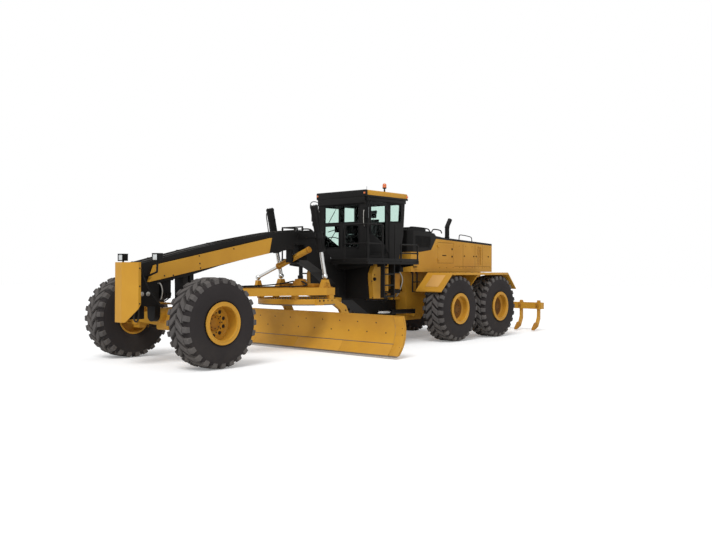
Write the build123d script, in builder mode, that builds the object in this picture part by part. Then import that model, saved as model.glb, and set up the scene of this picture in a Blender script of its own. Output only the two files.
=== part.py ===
from build123d import *
from math import atan2, cos, degrees, radians, sin, sqrt
import os

# Motor grader, millimetres. X points forward, Y to the left, Z up from the ground.
# The origin lies on the ground under the middle of the machine's outline.

# Wheels and axles
front_axle_x = 6700
wheelbase = 10278
tandem_spacing = 2314
tread = 3402
tyre_radius = 1005
tyre_width = 746
tyre_facets = 32
tread_half = 303
sidewall_radius = 750
bead_depth = 60
lug_count = 24
lug_root_radius = 965
lug_tip = 4.6
lug_foot = 5.8
bead_radius = 430
rim_flange_radius = 472
rim_reach = 387
rim_wall = 40
hub_radius = 190
spindle_radius = 100
bearing_gap = 0.08
seat_gap = 0.3

# Front frame
frame_half_width = 280
nose_front_x = 8000
nose_top_z = 2334
nose_half_width = 134
nose_flare = 270
nose_rear_x = 7680.3
panel_gap = 60
panel_thickness = 40
hitch_x = -1430
hitch_pin_radius = 90
hitch_top_z = 1250
hitch_bottom_z = 700
hitch_plate = 80

# Front axle
axle_z = 1005
axle_pivot_z = 1120
axle_pin_radius = 70
axle_hub_radius = 170
axle_hub_length = 600
axle_lug = 140
lean_pivot_y = 1050
kingpin_y = 1300
kingpin_radius = 55
lean_pin_radius = 40
lean_bar_rise = 360
lean_bar_back = 150
steer_arm = 330
steer_arm_drop = 155
steer_arm_thickness = 30
tie_drop = 240
tie_ball_radius = 30
tie_eye_radius = 45
tie_slack = 25

# Drawbar, circle and blade
ball_x = 5950
ball_z = 1560
ball_radius = 90
drawbar_bottom_z = 1500
drawbar_top_z = 1700
circle_x = 2380
circle_radius = 1150
circle_inner_radius = 1000
circle_top_z = 1400
circle_bottom_z = 1240
arm_y = 1090
arm_thickness = 90
tip_x = 2080
tip_z = 430
blade_length = 7315
blade_bottom_z = 75
blade_top_z = 1045

# Cab
cab_front_x = 700
cab_top_z = 4270
cab_half_width = 940
cab_wall = 60
roof_front_x = 748
roof_length = 1939
roof_half_width = 988
roof_top_z = 4468
door_rear_x = -290
door_front_x = 560
door_bottom_z = 2540
door_top_z = 4150
door_gap = 8
glass_thickness = 8

# Platform
deck_z = 2400
deck_thickness = 60
deck_edge_y = 1720
deck_front_x = 1500
deck_rear_x = -780
rail_top_z = 3430
rear_rail_z = 2900
rail_radius = 20

# Rear frame and hood
hood_front_x = -1410
hood_rear_x = -6005
hood_half_width = 950
hood_bottom_z = 2200
hood_wall = 40
louvre_x = (-5320, -5070)
louvre_z = (2350, 2950)
cowl_top_z = 3400
cowl_cut = 100
engine_door_front_x = -2780
engine_door_rear_x = -3676
engine_door_bottom_z = 2400
engine_door_top_z = 3060
rail_half_gap = 360
tow_plate = 50
tow_bore = 30
rail_width = 140

# Ripper
ripper_pivot_x = -6060
ripper_pivot_z = 900
ripper_rear_x = -8000
ripper_beam_half_length = 1900
ripper_arm_y = 520

os.makedirs("parts", exist_ok=True)
mid_tandem_x = front_axle_x - wheelbase
wheel_y = tread / 2


def keep(piece, label):
    piece.part.label = label
    export_step(piece.part, f"parts/{label}.step")


def slab(x, y, z, mode=Mode.ADD):
    with Locations(((x[0] + x[1]) / 2, (y[0] + y[1]) / 2, (z[0] + z[1]) / 2)):
        Box(abs(x[1] - x[0]), abs(y[1] - y[0]), abs(z[1] - z[0]), mode=mode)


def side_plate(points, y0, y1, mode=Mode.ADD):
    with BuildSketch(Plane.XZ.offset(-y0)) as profile:
        with BuildLine():
            Polyline(*points, close=True)
        make_face()
    extrude(profile.sketch, amount=y0 - y1, mode=mode)


def plan_plate(points, z0, z1, mode=Mode.ADD):
    with BuildSketch(Plane.XY.offset(z0)) as profile:
        with BuildLine():
            Polyline(*points, close=True)
        make_face()
    extrude(profile.sketch, amount=z1 - z0, mode=mode)


def cross_plate(points, x0, x1, mode=Mode.ADD):
    with BuildSketch(Plane.YZ.offset(x0)) as profile:
        with BuildLine():
            Polyline(*points, close=True)
        make_face()
    extrude(profile.sketch, amount=x1 - x0, mode=mode)


def bar(start, end, radius, mode=Mode.ADD):
    run = Vector(*end) - Vector(*start)
    with BuildSketch(Plane(origin=start, z_dir=run)) as profile:
        Circle(radius)
    extrude(profile.sketch, amount=run.length, mode=mode)


def along(start, end, distance):
    run = Vector(*end) - Vector(*start)
    return tuple(Vector(*start) + run.normalized() * distance)


# Tyres and rims
def tread_outline(x):
    points = []
    for lug in range(lug_count):
        middle = lug * 360 / lug_count
        for turn, radius in (
            (-lug_foot, lug_root_radius),
            (-lug_tip, tyre_radius / cos(radians(lug_tip))),
            (lug_tip, tyre_radius / cos(radians(lug_tip))),
            (lug_foot, lug_root_radius),
        ):
            angle = radians(middle + turn)
            points.append((x + radius * sin(angle), axle_z - radius * cos(angle)))
    return points


def wheel_facet(x, y, radius):
    with BuildSketch(Plane.XZ.offset(-y)) as facet:
        with Locations((x, axle_z)):
            RegularPolygon(radius, tyre_facets)
    return facet.sketch.face()


def make_tyre(x, side, label):
    y = side * wheel_y
    half = tyre_width / 2
    with BuildPart() as tyre:
        side_plate(tread_outline(x), y - tread_half, y + tread_half)
        for face in (-1, 1):
            shoulder = wheel_facet(x, y + face * tread_half, lug_root_radius - 10)
            bulge = wheel_facet(x, y + face * half, sidewall_radius)
            loft((shoulder, bulge), ruled=True)
            dish = wheel_facet(x, y + face * half, sidewall_radius - 20)
            bead = wheel_facet(x, y + face * (half - bead_depth), bead_radius + 2)
            loft((dish, bead), ruled=True, mode=Mode.SUBTRACT)
        with BuildSketch(Plane.XZ.offset(-(y - half - 1))) as bead_hole:
            with Locations((x, axle_z)):
                RegularPolygon(bead_radius + seat_gap, tyre_facets, major_radius=False)
        extrude(bead_hole.sketch, amount=-tyre_width - 2, mode=Mode.SUBTRACT)
    keep(tyre, label)


def make_rim(x, side, disc_offset, label):
    centre = (x, side * wheel_y, axle_z)
    inner = bead_radius - rim_wall
    with BuildPart() as rim:
        with BuildSketch(Plane(origin=centre, x_dir=(1, 0, 0), z_dir=(0, 0, 1))):
            with BuildLine():
                Polyline(
                    (inner, side * -300),
                    (bead_radius, side * -300),
                    (bead_radius, side * 330),
                    (rim_flange_radius, side * 375),
                    (rim_flange_radius, side * rim_reach),
                    (inner, side * rim_reach),
                    (inner, side * (disc_offset + rim_wall)),
                    (0, side * (disc_offset + rim_wall)),
                    (0, side * (disc_offset - 20)),
                    (spindle_radius + bearing_gap, side * (disc_offset - 20)),
                    (spindle_radius + bearing_gap, side * (disc_offset - 120)),
                    (hub_radius, side * (disc_offset - 120)),
                    (hub_radius, side * disc_offset),
                    (inner, side * disc_offset),
                    close=True,
                )
            make_face()
        revolve(axis=Axis(centre, (0, 1, 0)))
    keep(rim, label)


wheels = (
    # name, axle position, side, depth of the disc from the wheel's middle
    ("front_left", front_axle_x, 1, -20),
    ("front_right", front_axle_x, -1, -20),
    ("middle_left", mid_tandem_x + tandem_spacing / 2, 1, 130),
    ("middle_right", mid_tandem_x + tandem_spacing / 2, -1, 130),
    ("rear_left", mid_tandem_x - tandem_spacing / 2, 1, 130),
    ("rear_right", mid_tandem_x - tandem_spacing / 2, -1, 130),
)
for wheel_name, wheel_x, wheel_side, disc_depth in wheels:
    make_tyre(wheel_x, wheel_side, f"tyre_{wheel_name}")
    make_rim(wheel_x, wheel_side, disc_depth, f"rim_{wheel_name}")

# Front frame: sloping beam, bolster at the nose, gooseneck and hitch tongue
beam_outline = (
    (7680, 2290), (5850, 2734), (3940, 3094), (3127, 3201), (2264, 3265), (1950, 3200), (1681, 2800),
    (1127, 2094), (634, 1777), (124, 1364), (-60, hitch_top_z), (hitch_x - 170, hitch_top_z),
    (hitch_x - 170, hitch_bottom_z), (-480, hitch_bottom_z), (306, 1170), (971, 1590), (1715, 2110),
    (2380, 2440), (2480, 2860), (2860, 2860), (2860, 2740), (4010, 2566), (5373, 2274), (6322, 2021),
    (7000, 1900), (7130, 1850), (7130, 1340), (7680, 1340),
)
pedestal_z = 1300
weld_spots = (1100, 2150, 5800)
trunnion_x = 2537
trunnion_z = 3100
lift_y = 870
shift_x = 2660
shift_z = 2480
pivot_front = (front_axle_x + axle_hub_length / 2 + 10, front_axle_x + axle_hub_length / 2 + 10 + axle_lug)
pivot_rear = (front_axle_x - axle_hub_length / 2 - 10 - axle_lug, front_axle_x - axle_hub_length / 2 - 10)
trunnion_arm = (150, 200)
shift_lug = (105, 145)

with BuildPart() as front_frame:
    side_plate(beam_outline, -frame_half_width, frame_half_width)
    slab((hitch_x - 180, hitch_x + 400), (-2 * frame_half_width, -200), (0, 3000), mode=Mode.SUBTRACT)
    slab((hitch_x - 180, hitch_x + 400), (200, 2 * frame_half_width), (0, 3000), mode=Mode.SUBTRACT)
    for lug_x, lug_top in ((pivot_front, 1400), (pivot_rear, 2060)):
        with BuildSketch(Plane.YZ.offset(lug_x[0])):
            with BuildLine():
                Polyline((-150, axle_pivot_z), (-170, lug_top), (170, lug_top), (150, axle_pivot_z))
                ThreePointArc((150, axle_pivot_z), (0, axle_pivot_z - 150), (-150, axle_pivot_z))
            make_face()
        extrude(amount=axle_lug)
    bar((pivot_rear[0], 0, axle_pivot_z), (pivot_front[1], 0, axle_pivot_z), axle_pin_radius)
    slab((ball_x + 30, ball_x + 150), (-50, 50), (ball_z - 40, ball_z + 40))
    slab((ball_x + 90, ball_x + 200), (-110, 110), (ball_z - 60, 2150))
    slab((-600, weld_spots[0]), (-frame_half_width, frame_half_width), (pedestal_z, deck_z - deck_thickness))
    with Locations((ball_x, 0, ball_z)):
        Sphere(ball_radius - seat_gap)
    for side in (-1, 1):
        for reach in (-1, 1):
            edges = sorted((trunnion_x + reach * trunnion_arm[0], trunnion_x + reach * trunnion_arm[1]))
            slab(edges, (side * (frame_half_width - 20), side * (lift_y + 70)), (trunnion_z - 70, trunnion_z + 70))
            bar(
                (edges[0], side * lift_y, trunnion_z),
                (edges[1], side * lift_y, trunnion_z),
                40 + bearing_gap,
                mode=Mode.SUBTRACT,
            )
    for reach in (-1, 1):
        edges = sorted((shift_x + reach * shift_lug[0], shift_x + reach * shift_lug[1]))
        slab(edges, (-110, 110), (shift_z - 110, 2880))
        bar((edges[0], 0, shift_z), (edges[1], 0, shift_z), 35 + bearing_gap, mode=Mode.SUBTRACT)
    bar((hitch_x, 0, 0), (hitch_x, 0, 2000), hitch_pin_radius + bearing_gap, mode=Mode.SUBTRACT)
    for side in (-1, 1):
        slab((-540, -360), (side * 240, side * 520), (790, 850))
        slab((250, 820), (side * (frame_half_width - 20), side * (1150 - seat_gap)), (1360, deck_z - deck_thickness))
        bar((7460, side * (frame_half_width - 30), 2000), (7460, side * 690, 2120), 22)
        bar((7460, side * 690, 2120), (7450, side * 700, 2400), 22)
        slab((7385, 7515), (side * 600, side * 800), (2370, 2530))
    slab((7430, 7680), (-150, 150), (1050, 1400))
    slab((7600, 7850), (-70, 70), (1050, 1050 + tow_plate))
    for spot in weld_spots:
        slab((spot, spot + seat_gap), (-1200, 1200), (500, 3600), mode=Mode.SUBTRACT)
    bar((7785, 0, 1000), (7785, 0, 1150), tow_bore, mode=Mode.SUBTRACT)
keep(front_frame, "front_frame")

# Ochre nose block and side covers
with BuildPart() as front_panels:
    plan_plate(
        (
            (nose_front_x, -nose_half_width), (nose_front_x, nose_half_width),
            (nose_front_x - 255, nose_half_width + nose_flare), (nose_rear_x, nose_half_width + nose_flare),
            (nose_rear_x, -nose_half_width - nose_flare), (nose_front_x - 255, -nose_half_width - nose_flare),
        ),
        990, nose_top_z,
    )
    side_plate(((7680, 980), (7950, 980), (7680, 1390)), -500, 500, mode=Mode.SUBTRACT)
    for side in (-1, 1):
        side_plate(
            ((7290, 2270), (7450, 1890), (6200, 2140), (3850, 2600), (3760, 3000)),
            side * (frame_half_width + seat_gap),
            side * (frame_half_width + panel_gap + panel_thickness),
        )
keep(front_panels, "front_panels")

# Front axle: oscillating beam, leaning yokes, knuckles, lean bar and tie rod
with BuildPart() as front_axle:
    cross_plate(
        (
            (-960, 905), (-960, 1105), (-320, 1240), (320, 1240), (960, 1105), (960, 905), (320, 870), (-320, 870),
        ),
        front_axle_x - 150, front_axle_x + 150,
    )
    bar(
        (front_axle_x - axle_hub_length / 2, 0, axle_pivot_z),
        (front_axle_x + axle_hub_length / 2, 0, axle_pivot_z),
        axle_hub_radius,
    )
    bar(
        (front_axle_x - axle_hub_length / 2, 0, axle_pivot_z),
        (front_axle_x + axle_hub_length / 2, 0, axle_pivot_z),
        axle_pin_radius + bearing_gap,
        mode=Mode.SUBTRACT,
    )
    for side in (-1, 1):
        for reach in (-1, 1):
            ear = sorted((front_axle_x + reach * 102, front_axle_x + reach * 150))
            slab(ear, (side * 940, side * (lean_pivot_y + 60)), (axle_z - 70, axle_z + 80))
        bar(
            (front_axle_x - 150, side * lean_pivot_y, axle_z),
            (front_axle_x + 150, side * lean_pivot_y, axle_z),
            lean_pin_radius,
        )
keep(front_axle, "front_axle")

tie_x = front_axle_x - steer_arm
tie_z = axle_z - tie_drop
for side, side_name in ((1, "left"), (-1, "right")):
    with BuildPart() as lean_yoke:
        slab(
            (front_axle_x - 80, front_axle_x + 80),
            (side * lean_pivot_y, side * (lean_pivot_y + 80)),
            (axle_z - 250, axle_z + 250),
        )
        for level in (-250, 190):
            slab(
                (front_axle_x - 80, front_axle_x + 80),
                (side * lean_pivot_y, side * kingpin_y),
                (axle_z + level, axle_z + level + 60),
            )
            with Locations((front_axle_x, side * kingpin_y, axle_z + level + 30)):
                Cylinder(80, 60)
        bar(
            (front_axle_x - 97, side * lean_pivot_y, axle_z),
            (front_axle_x + 97, side * lean_pivot_y, axle_z),
            75,
        )
        bar(
            (front_axle_x - 97, side * lean_pivot_y, axle_z),
            (front_axle_x + 97, side * lean_pivot_y, axle_z),
            lean_pin_radius + bearing_gap,
            mode=Mode.SUBTRACT,
        )
        bar(
            (front_axle_x, side * kingpin_y, axle_z - 250),
            (front_axle_x, side * kingpin_y, axle_z + 250),
            kingpin_radius,
        )
        slab(
            (front_axle_x - lean_bar_back + 30, front_axle_x - 20),
            (side * (lean_pivot_y - 35), side * (lean_pivot_y + 35)),
            (axle_z + 240, axle_z + lean_bar_rise + 40),
        )
        bar(
            (front_axle_x - lean_bar_back - 30, side * lean_pivot_y, axle_z + lean_bar_rise),
            (front_axle_x - 60, side * lean_pivot_y, axle_z + lean_bar_rise),
            20,
        )
    keep(lean_yoke, f"lean_yoke_{side_name}")

    with BuildPart() as knuckle:
        with Locations((front_axle_x, side * kingpin_y, axle_z)):
            Cylinder(105, 370)
        bar(
            (front_axle_x, side * kingpin_y, axle_z),
            (front_axle_x, side * (wheel_y - 145), axle_z),
            140,
        )
        bar(
            (front_axle_x, side * kingpin_y, axle_z),
            (front_axle_x, side * (wheel_y - 45), axle_z),
            spindle_radius,
        )
        slab(
            (front_axle_x - steer_arm, front_axle_x),
            (side * (kingpin_y - 40), side * (kingpin_y + 40)),
            (axle_z - steer_arm_drop - steer_arm_thickness, axle_z - steer_arm_drop),
        )
        with Locations((tie_x, side * kingpin_y, axle_z - steer_arm_drop - steer_arm_thickness / 2)):
            Cylinder(40, steer_arm_thickness)
        bar((tie_x, side * kingpin_y, axle_z - steer_arm_drop - 10), (tie_x, side * kingpin_y, tie_z - 5), 15)
        if side < 0:
            with Locations((tie_x, side * kingpin_y, tie_z)):
                Sphere(tie_ball_radius)
        bar(
            (front_axle_x, side * kingpin_y, axle_z - 300),
            (front_axle_x, side * kingpin_y, axle_z + 300),
            kingpin_radius + bearing_gap,
            mode=Mode.SUBTRACT,
        )
    keep(knuckle, f"knuckle_{side_name}")

with BuildPart() as lean_bar:
    bar_x = front_axle_x - lean_bar_back
    bar_z = axle_z + lean_bar_rise
    bar((bar_x, -lean_pivot_y, bar_z), (bar_x, lean_pivot_y, bar_z), 24)
    for side in (-1, 1):
        bar((bar_x - 25, side * lean_pivot_y, bar_z), (bar_x + 25, side * lean_pivot_y, bar_z), 45)
    for side in (-1, 1):
        bar(
            (bar_x - 60, side * lean_pivot_y, bar_z),
            (bar_x + 60, side * lean_pivot_y, bar_z),
            20 + bearing_gap,
            mode=Mode.SUBTRACT,
        )
keep(lean_bar, "lean_bar")

with BuildPart() as tie_rod_ball:
    with Locations((tie_x, kingpin_y, tie_z)):
        Sphere(tie_ball_radius)
    bar((tie_x, kingpin_y, tie_z - 50), (tie_x, kingpin_y, tie_z + 50), 15 + bearing_gap, mode=Mode.SUBTRACT)
keep(tie_rod_ball, "tie_rod_ball")

# The right eye is long enough for the ball's drift when the wheels lean
with BuildPart() as tie_rod:
    bar((tie_x, tie_slack - kingpin_y, tie_z), (tie_x, kingpin_y, tie_z), 14)
    bar((tie_x, 140 - kingpin_y, tie_z), (tie_x, kingpin_y - 140, tie_z), 26)
    with Locations((tie_x, kingpin_y, tie_z)):
        Cylinder(tie_eye_radius, 30)
        Cylinder(tie_ball_radius + bearing_gap, 80, mode=Mode.SUBTRACT)
    with BuildSketch(Plane.XY.offset(tie_z - 15)) as long_eye:
        with Locations((tie_x, tie_slack / 2 - kingpin_y)):
            SlotCenterToCenter(tie_slack, 2 * tie_eye_radius, rotation=90)
    extrude(long_eye.sketch, amount=30)
    with BuildSketch(Plane.XY.offset(tie_z - 40)) as long_hole:
        with Locations((tie_x, tie_slack / 2 - kingpin_y)):
            SlotCenterToCenter(tie_slack, 2 * (tie_ball_radius + bearing_gap), rotation=90)
    extrude(long_hole.sketch, amount=80, mode=Mode.SUBTRACT)
keep(tie_rod, "tie_rod")

# Drawbar on its swivel, the turning circle with its arms, the blade and its carrier
swivel_pin = 25
with BuildPart() as drawbar_swivel:
    slab((ball_x - 140, ball_x + 12), (-100, 100), (ball_z - 100, ball_z + 100))
    bar((ball_x, -146, ball_z), (ball_x, 146, ball_z), swivel_pin)
    with Locations((ball_x, 0, ball_z)):
        Sphere(ball_radius, mode=Mode.SUBTRACT)
keep(drawbar_swivel, "drawbar_swivel")

lift_eye = (2280, lift_y, 2000)
lift_eye_radius = 80
shift_eye = (shift_x, -1420, 1950)
shift_eye_radius = 75
with BuildPart() as drawbar:
    plan_plate(
        (
            (ball_x - 160, 146), (3000, 900), (2450, 1100), (2130, 1100), (2130, -1100), (2400, -1100),
            (2500, -1500), (2760, -1500), (3000, -900), (ball_x - 160, -146),
        ),
        drawbar_bottom_z, drawbar_top_z,
    )
    plan_plate(
        (
            (5300, 60), (2950, 690), (2600, 690), (2600, -690), (2950, -690), (5300, -60),
        ),
        drawbar_bottom_z, drawbar_top_z, mode=Mode.SUBTRACT,
    )
    for side in (-1, 1):
        slab((ball_x - 170, ball_x + 50), (side * 106, side * 146), (ball_z - 55, ball_z + 55))
        side_plate(
            (
                (lift_eye[0] - 150, drawbar_top_z), (lift_eye[0] + 150, drawbar_top_z),
                (lift_eye[0] + 60, lift_eye[2] - lift_eye_radius - 5),
                (lift_eye[0] - 60, lift_eye[2] - lift_eye_radius - 5),
            ),
            side * (lift_y - 80), side * (lift_y + 80),
        )
    bar((ball_x, -200, ball_z), (ball_x, 200, ball_z), swivel_pin + bearing_gap, mode=Mode.SUBTRACT)
    side_plate(
        (
            (shift_x - 110, drawbar_top_z), (shift_x + 90, drawbar_top_z),
            (shift_x + 50, shift_eye[2] - shift_eye_radius - 5),
            (shift_x - 50, shift_eye[2] - shift_eye_radius - 5),
        ),
        shift_eye[1] - 60, shift_eye[1] + 60,
    )
    for bearing in (39, 95, -95, -39):
        mid = (circle_radius + circle_inner_radius) / 2
        pad_x = circle_x + mid * cos(radians(bearing))
        pad_y = mid * sin(radians(bearing))
        slab((pad_x - 70, pad_x + 70), (pad_y - 70, pad_y + 70), (circle_top_z + seat_gap, drawbar_bottom_z))
keep(drawbar, "drawbar")

arm_outline = (
    (2850, circle_top_z), (2150, circle_top_z), (1720, 1200), (1560, 920), (1640, 640), (tip_x - 100, 330),
    (tip_x + 90, 330), (tip_x + 90, 520), (1900, 740), (1860, 930), (1960, 1100), (2200, circle_bottom_z),
    (2850, circle_bottom_z),
)
tip_pin_radius = 45
with BuildPart() as circle:
    with BuildSketch(Plane.XY.offset(circle_bottom_z)):
        with Locations((circle_x, 0)):
            Circle(circle_radius)
            Circle(circle_inner_radius, mode=Mode.SUBTRACT)
    extrude(amount=circle_top_z - circle_bottom_z)
    for side in (-1, 1):
        side_plate(arm_outline, side * (arm_y - arm_thickness / 2), side * (arm_y + arm_thickness / 2))
        slab((2150, 2700), (side * 900, side * arm_y), (circle_bottom_z, circle_top_z))
    for side in (-1, 1):
        bar(
            (tip_x, side * (arm_y - 80), tip_z), (tip_x, side * (arm_y + 80), tip_z),
            tip_pin_radius + bearing_gap, mode=Mode.SUBTRACT,
        )
    bar((circle_x, 0, circle_bottom_z), (circle_x, 0, circle_top_z + 60), circle_inner_radius, mode=Mode.SUBTRACT)
keep(circle, "circle")

rail_low_z = 360
rail_high_z = 760
runner_x = 2225 - seat_gap
with BuildPart() as moldboard:
    with BuildSketch(Plane.XZ.offset(-blade_length / 2)):
        with BuildLine():
            ThreePointArc((2610, blade_bottom_z), (2334, 600), (2420, blade_top_z))
            Line((2420, blade_top_z), (2370, blade_top_z + 8))
            ThreePointArc((2370, blade_top_z + 8), (2284, 600), (2560, blade_bottom_z))
            Line((2560, blade_bottom_z), (2610, blade_bottom_z))
        make_face()
    extrude(amount=blade_length)
    for level, front in ((rail_low_z, 2400), (rail_high_z, 2330)):
        with BuildSketch(Plane.XZ.offset(-blade_length / 2 + 500)):
            with BuildLine():
                Polyline(
                    (front, level - 40), (front, level + 40), (2225, level + 30), (2225, level - 30), close=True,
                )
            make_face()
        extrude(amount=blade_length - 1000)
    with BuildSketch(Plane.XZ.offset(-blade_length / 2)):
        with BuildLine():
            ThreePointArc((2610, blade_bottom_z), (2334, 600), (2420, blade_top_z))
            Polyline((2420, blade_top_z), (2900, blade_top_z), (2900, blade_bottom_z), (2610, blade_bottom_z))
        make_face()
    extrude(amount=blade_length, mode=Mode.SUBTRACT)
keep(moldboard, "moldboard")

with BuildPart() as blade_carrier:
    for side in (-1, 1):
        inner = arm_y - arm_thickness / 2 - 5
        side_plate(
            (
                (tip_x - 80, tip_z - 80), (2215, rail_low_z - 90), (2215, rail_high_z + 90), (2120, rail_high_z + 90),
                (tip_x - 80, tip_z + 90),
            ),
            side * (inner - 160), side * inner,
        )
        bar((tip_x, side * (inner - 40), tip_z), (tip_x, side * (arm_y + 60), tip_z), tip_pin_radius)
        for level in (rail_low_z, rail_high_z):
            side_plate(
                (
                    (2210, level - 75), (2275, level - 75), (2275, level - 45), (runner_x, level - 34), (runner_x, level + 34),
                    (2275, level + 45), (2275, level + 75), (2210, level + 75),
                ),
                side * (inner - 160), side * inner,
            )
    slab((tip_x - 40, tip_x + 40), (-inner + 20, inner - 20), (tip_z - 50, tip_z + 50))
keep(blade_carrier, "blade_carrier")

# Hydraulic cylinders


def cylinder_body(foot, eye, first, last, radius, rod, bore_start):
    bar(along(foot, eye, first), along(foot, eye, last), radius)
    bar(along(foot, eye, last - 60), along(foot, eye, last), radius + 12)
    bar(along(foot, eye, bore_start), along(foot, eye, last + 1), rod + bearing_gap, mode=Mode.SUBTRACT)


def cylinder_rod(foot, eye, first, rod, eye_radius):
    bar(along(foot, eye, first), eye, rod)
    with Locations(eye):
        Sphere(eye_radius)


lift_rod_radius = 55
shift_rod_radius = 45
for side, side_name in ((1, "left"), (-1, "right")):
    foot = (trunnion_x, side * lift_y, trunnion_z)
    eye = (lift_eye[0], side * lift_y, lift_eye[2])
    with BuildPart() as lift_barrel:
        cylinder_body(foot, eye, -800, 445, 105, lift_rod_radius, -740)
        bar(along(foot, eye, -75), along(foot, eye, 75), 130)
        bar((trunnion_x - 198, foot[1], trunnion_z), (trunnion_x + 198, foot[1], trunnion_z), 40)
        bar(along(foot, eye, -740), along(foot, eye, 446), lift_rod_radius + bearing_gap, mode=Mode.SUBTRACT)
    keep(lift_barrel, f"lift_barrel_{side_name}")
    with BuildPart() as lift_rod:
        cylinder_rod(foot, eye, -100, lift_rod_radius, lift_eye_radius)
    keep(lift_rod, f"lift_rod_{side_name}")

shift_foot = (shift_x, 0, shift_z)
shift_barrel_radius = 80
cheek = (83, 98)
trunnion_radius = 30
run_length = sqrt(shift_eye[1] ** 2 + (shift_eye[2] - shift_z) ** 2)
bridge = (108 * (shift_eye[2] - shift_z) / run_length, -108 * shift_eye[1] / run_length)
with BuildPart() as shift_yoke:
    for reach in (-1, 1):
        bar((shift_x + reach * cheek[0], 0, shift_z), (shift_x + reach * cheek[1], 0, shift_z), 120)
        bar((shift_x + reach * (cheek[1] - 3), 0, shift_z), (shift_x + reach * 145, 0, shift_z), 35)
        bar(
            (shift_x + reach * (cheek[0] - 1), 0, shift_z), (shift_x + reach * (cheek[1] - 3), 0, shift_z),
            trunnion_radius + bearing_gap, mode=Mode.SUBTRACT,
        )
        bar(
            (shift_x - cheek[0] - 5, reach * bridge[0], shift_z + reach * bridge[1]),
            (shift_x + cheek[0] + 5, reach * bridge[0], shift_z + reach * bridge[1]), 12,
        )
keep(shift_yoke, "shift_yoke")
with BuildPart() as shift_barrel:
    bar(along(shift_foot, shift_eye, -700), along(shift_foot, shift_eye, 620), shift_barrel_radius)
    bar((shift_x - cheek[1] + 4, 0, shift_z), (shift_x + cheek[1] - 4, 0, shift_z), trunnion_radius)
    bar(
        along(shift_foot, shift_eye, -650), along(shift_foot, shift_eye, 621),
        shift_rod_radius + bearing_gap, mode=Mode.SUBTRACT,
    )
keep(shift_barrel, "shift_barrel")
with BuildPart() as shift_rod:
    cylinder_rod(shift_foot, shift_eye, 0, shift_rod_radius, shift_eye_radius)
keep(shift_rod, "shift_rod")

steer_foot_x = -1850
steer_foot_y = 700
steer_foot_z = 905
steer_eye_x = -450
steer_eye_y = 470
for side, side_name in ((1, "left"), (-1, "right")):
    foot = (steer_foot_x, side * steer_foot_y, steer_foot_z)
    eye = (steer_eye_x, side * steer_eye_y, steer_foot_z)
    with BuildPart() as hinge_barrel:
        with Locations(foot):
            Cylinder(65, 140)
        cylinder_body(foot, eye, 20, 950, 68, 40, 300)
        with Locations(foot):
            Cylinder(30 + bearing_gap, 200, mode=Mode.SUBTRACT)
    keep(hinge_barrel, f"hinge_barrel_{side_name}")
    with BuildPart() as hinge_rod:
        cylinder_rod(foot, eye, 600, 40, 50)
    keep(hinge_rod, f"hinge_rod_{side_name}")

# Cab
cab_outline = ((cab_front_x, deck_z), (cab_front_x, cab_top_z), (-1110, cab_top_z), (-1030, 3200), (-800, deck_z))
cab_room = (
    (cab_front_x - cab_wall, deck_z + cab_wall), (cab_front_x - cab_wall, cab_top_z - cab_wall),
    (cab_wall - 1110, cab_top_z - cab_wall), (cab_wall - 1030, 3200), (cab_wall - 800, deck_z + cab_wall),
)
side_windows = (
    # rear edge, front edge, bottom, top
    (-930, -400, 3600, 4130),
)
front_windows = (
    # right edge, left edge, bottom, top
    (-690, 690, 3550, 4060),
    (-690, -60, 2820, 3470),
    (60, 690, 2820, 3470),
)
hinge_heights = (2750, 3900)
hinge_offset = 18
with BuildPart() as cab_shell:
    side_plate(cab_outline, -cab_half_width, cab_half_width)
    side_plate(cab_room, cab_wall - cab_half_width, cab_half_width - cab_wall, mode=Mode.SUBTRACT)
    slab(
        (door_rear_x, door_front_x), (-cab_half_width - 1, cab_half_width + 1), (door_bottom_z, door_top_z),
        mode=Mode.SUBTRACT,
    )
    for rear, front, low, high in side_windows:
        slab((rear, front), (-cab_half_width - 1, cab_half_width + 1), (low, high), mode=Mode.SUBTRACT)
    for right, left, low, high in front_windows:
        slab((cab_front_x - 100, cab_front_x + 1), (right, left), (low, high), mode=Mode.SUBTRACT)
    slab((-1200, -900), (-760, 760), (3640, 4170), mode=Mode.SUBTRACT)
    for side in (-1, 1):
        hinge_y = side * (cab_half_width + hinge_offset)
        for height in hinge_heights:
            slab(
                (door_rear_x - 60, door_rear_x + 7), (side * cab_half_width, hinge_y + side * 12),
                (height - 70, height - 45),
            )
            bar((door_rear_x, hinge_y, height - 60), (door_rear_x, hinge_y, height + 40), 8)
keep(cab_shell, "cab_shell")

with BuildPart() as cab_glass:
    middle = cab_half_width - cab_wall / 2
    for side in (-1, 1):
        for rear, front, low, high in side_windows:
            slab(
                (rear + seat_gap, front - seat_gap),
                (side * middle - glass_thickness / 2, side * middle + glass_thickness / 2),
                (low + seat_gap, high - seat_gap),
            )
    for right, left, low, high in front_windows:
        slab(
            (cab_front_x - cab_wall / 2 - glass_thickness / 2, cab_front_x - cab_wall / 2 + glass_thickness / 2),
            (right + seat_gap, left - seat_gap),
            (low + seat_gap, high - seat_gap),
        )
    side_plate(
        (
            (-1034, 3640 + seat_gap), (-1073, 4170 - seat_gap), (-1065, 4170 - seat_gap), (-1026, 3640 + seat_gap),
        ),
        seat_gap - 760, 760 - seat_gap,
    )
keep(cab_glass, "cab_glass")

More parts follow.
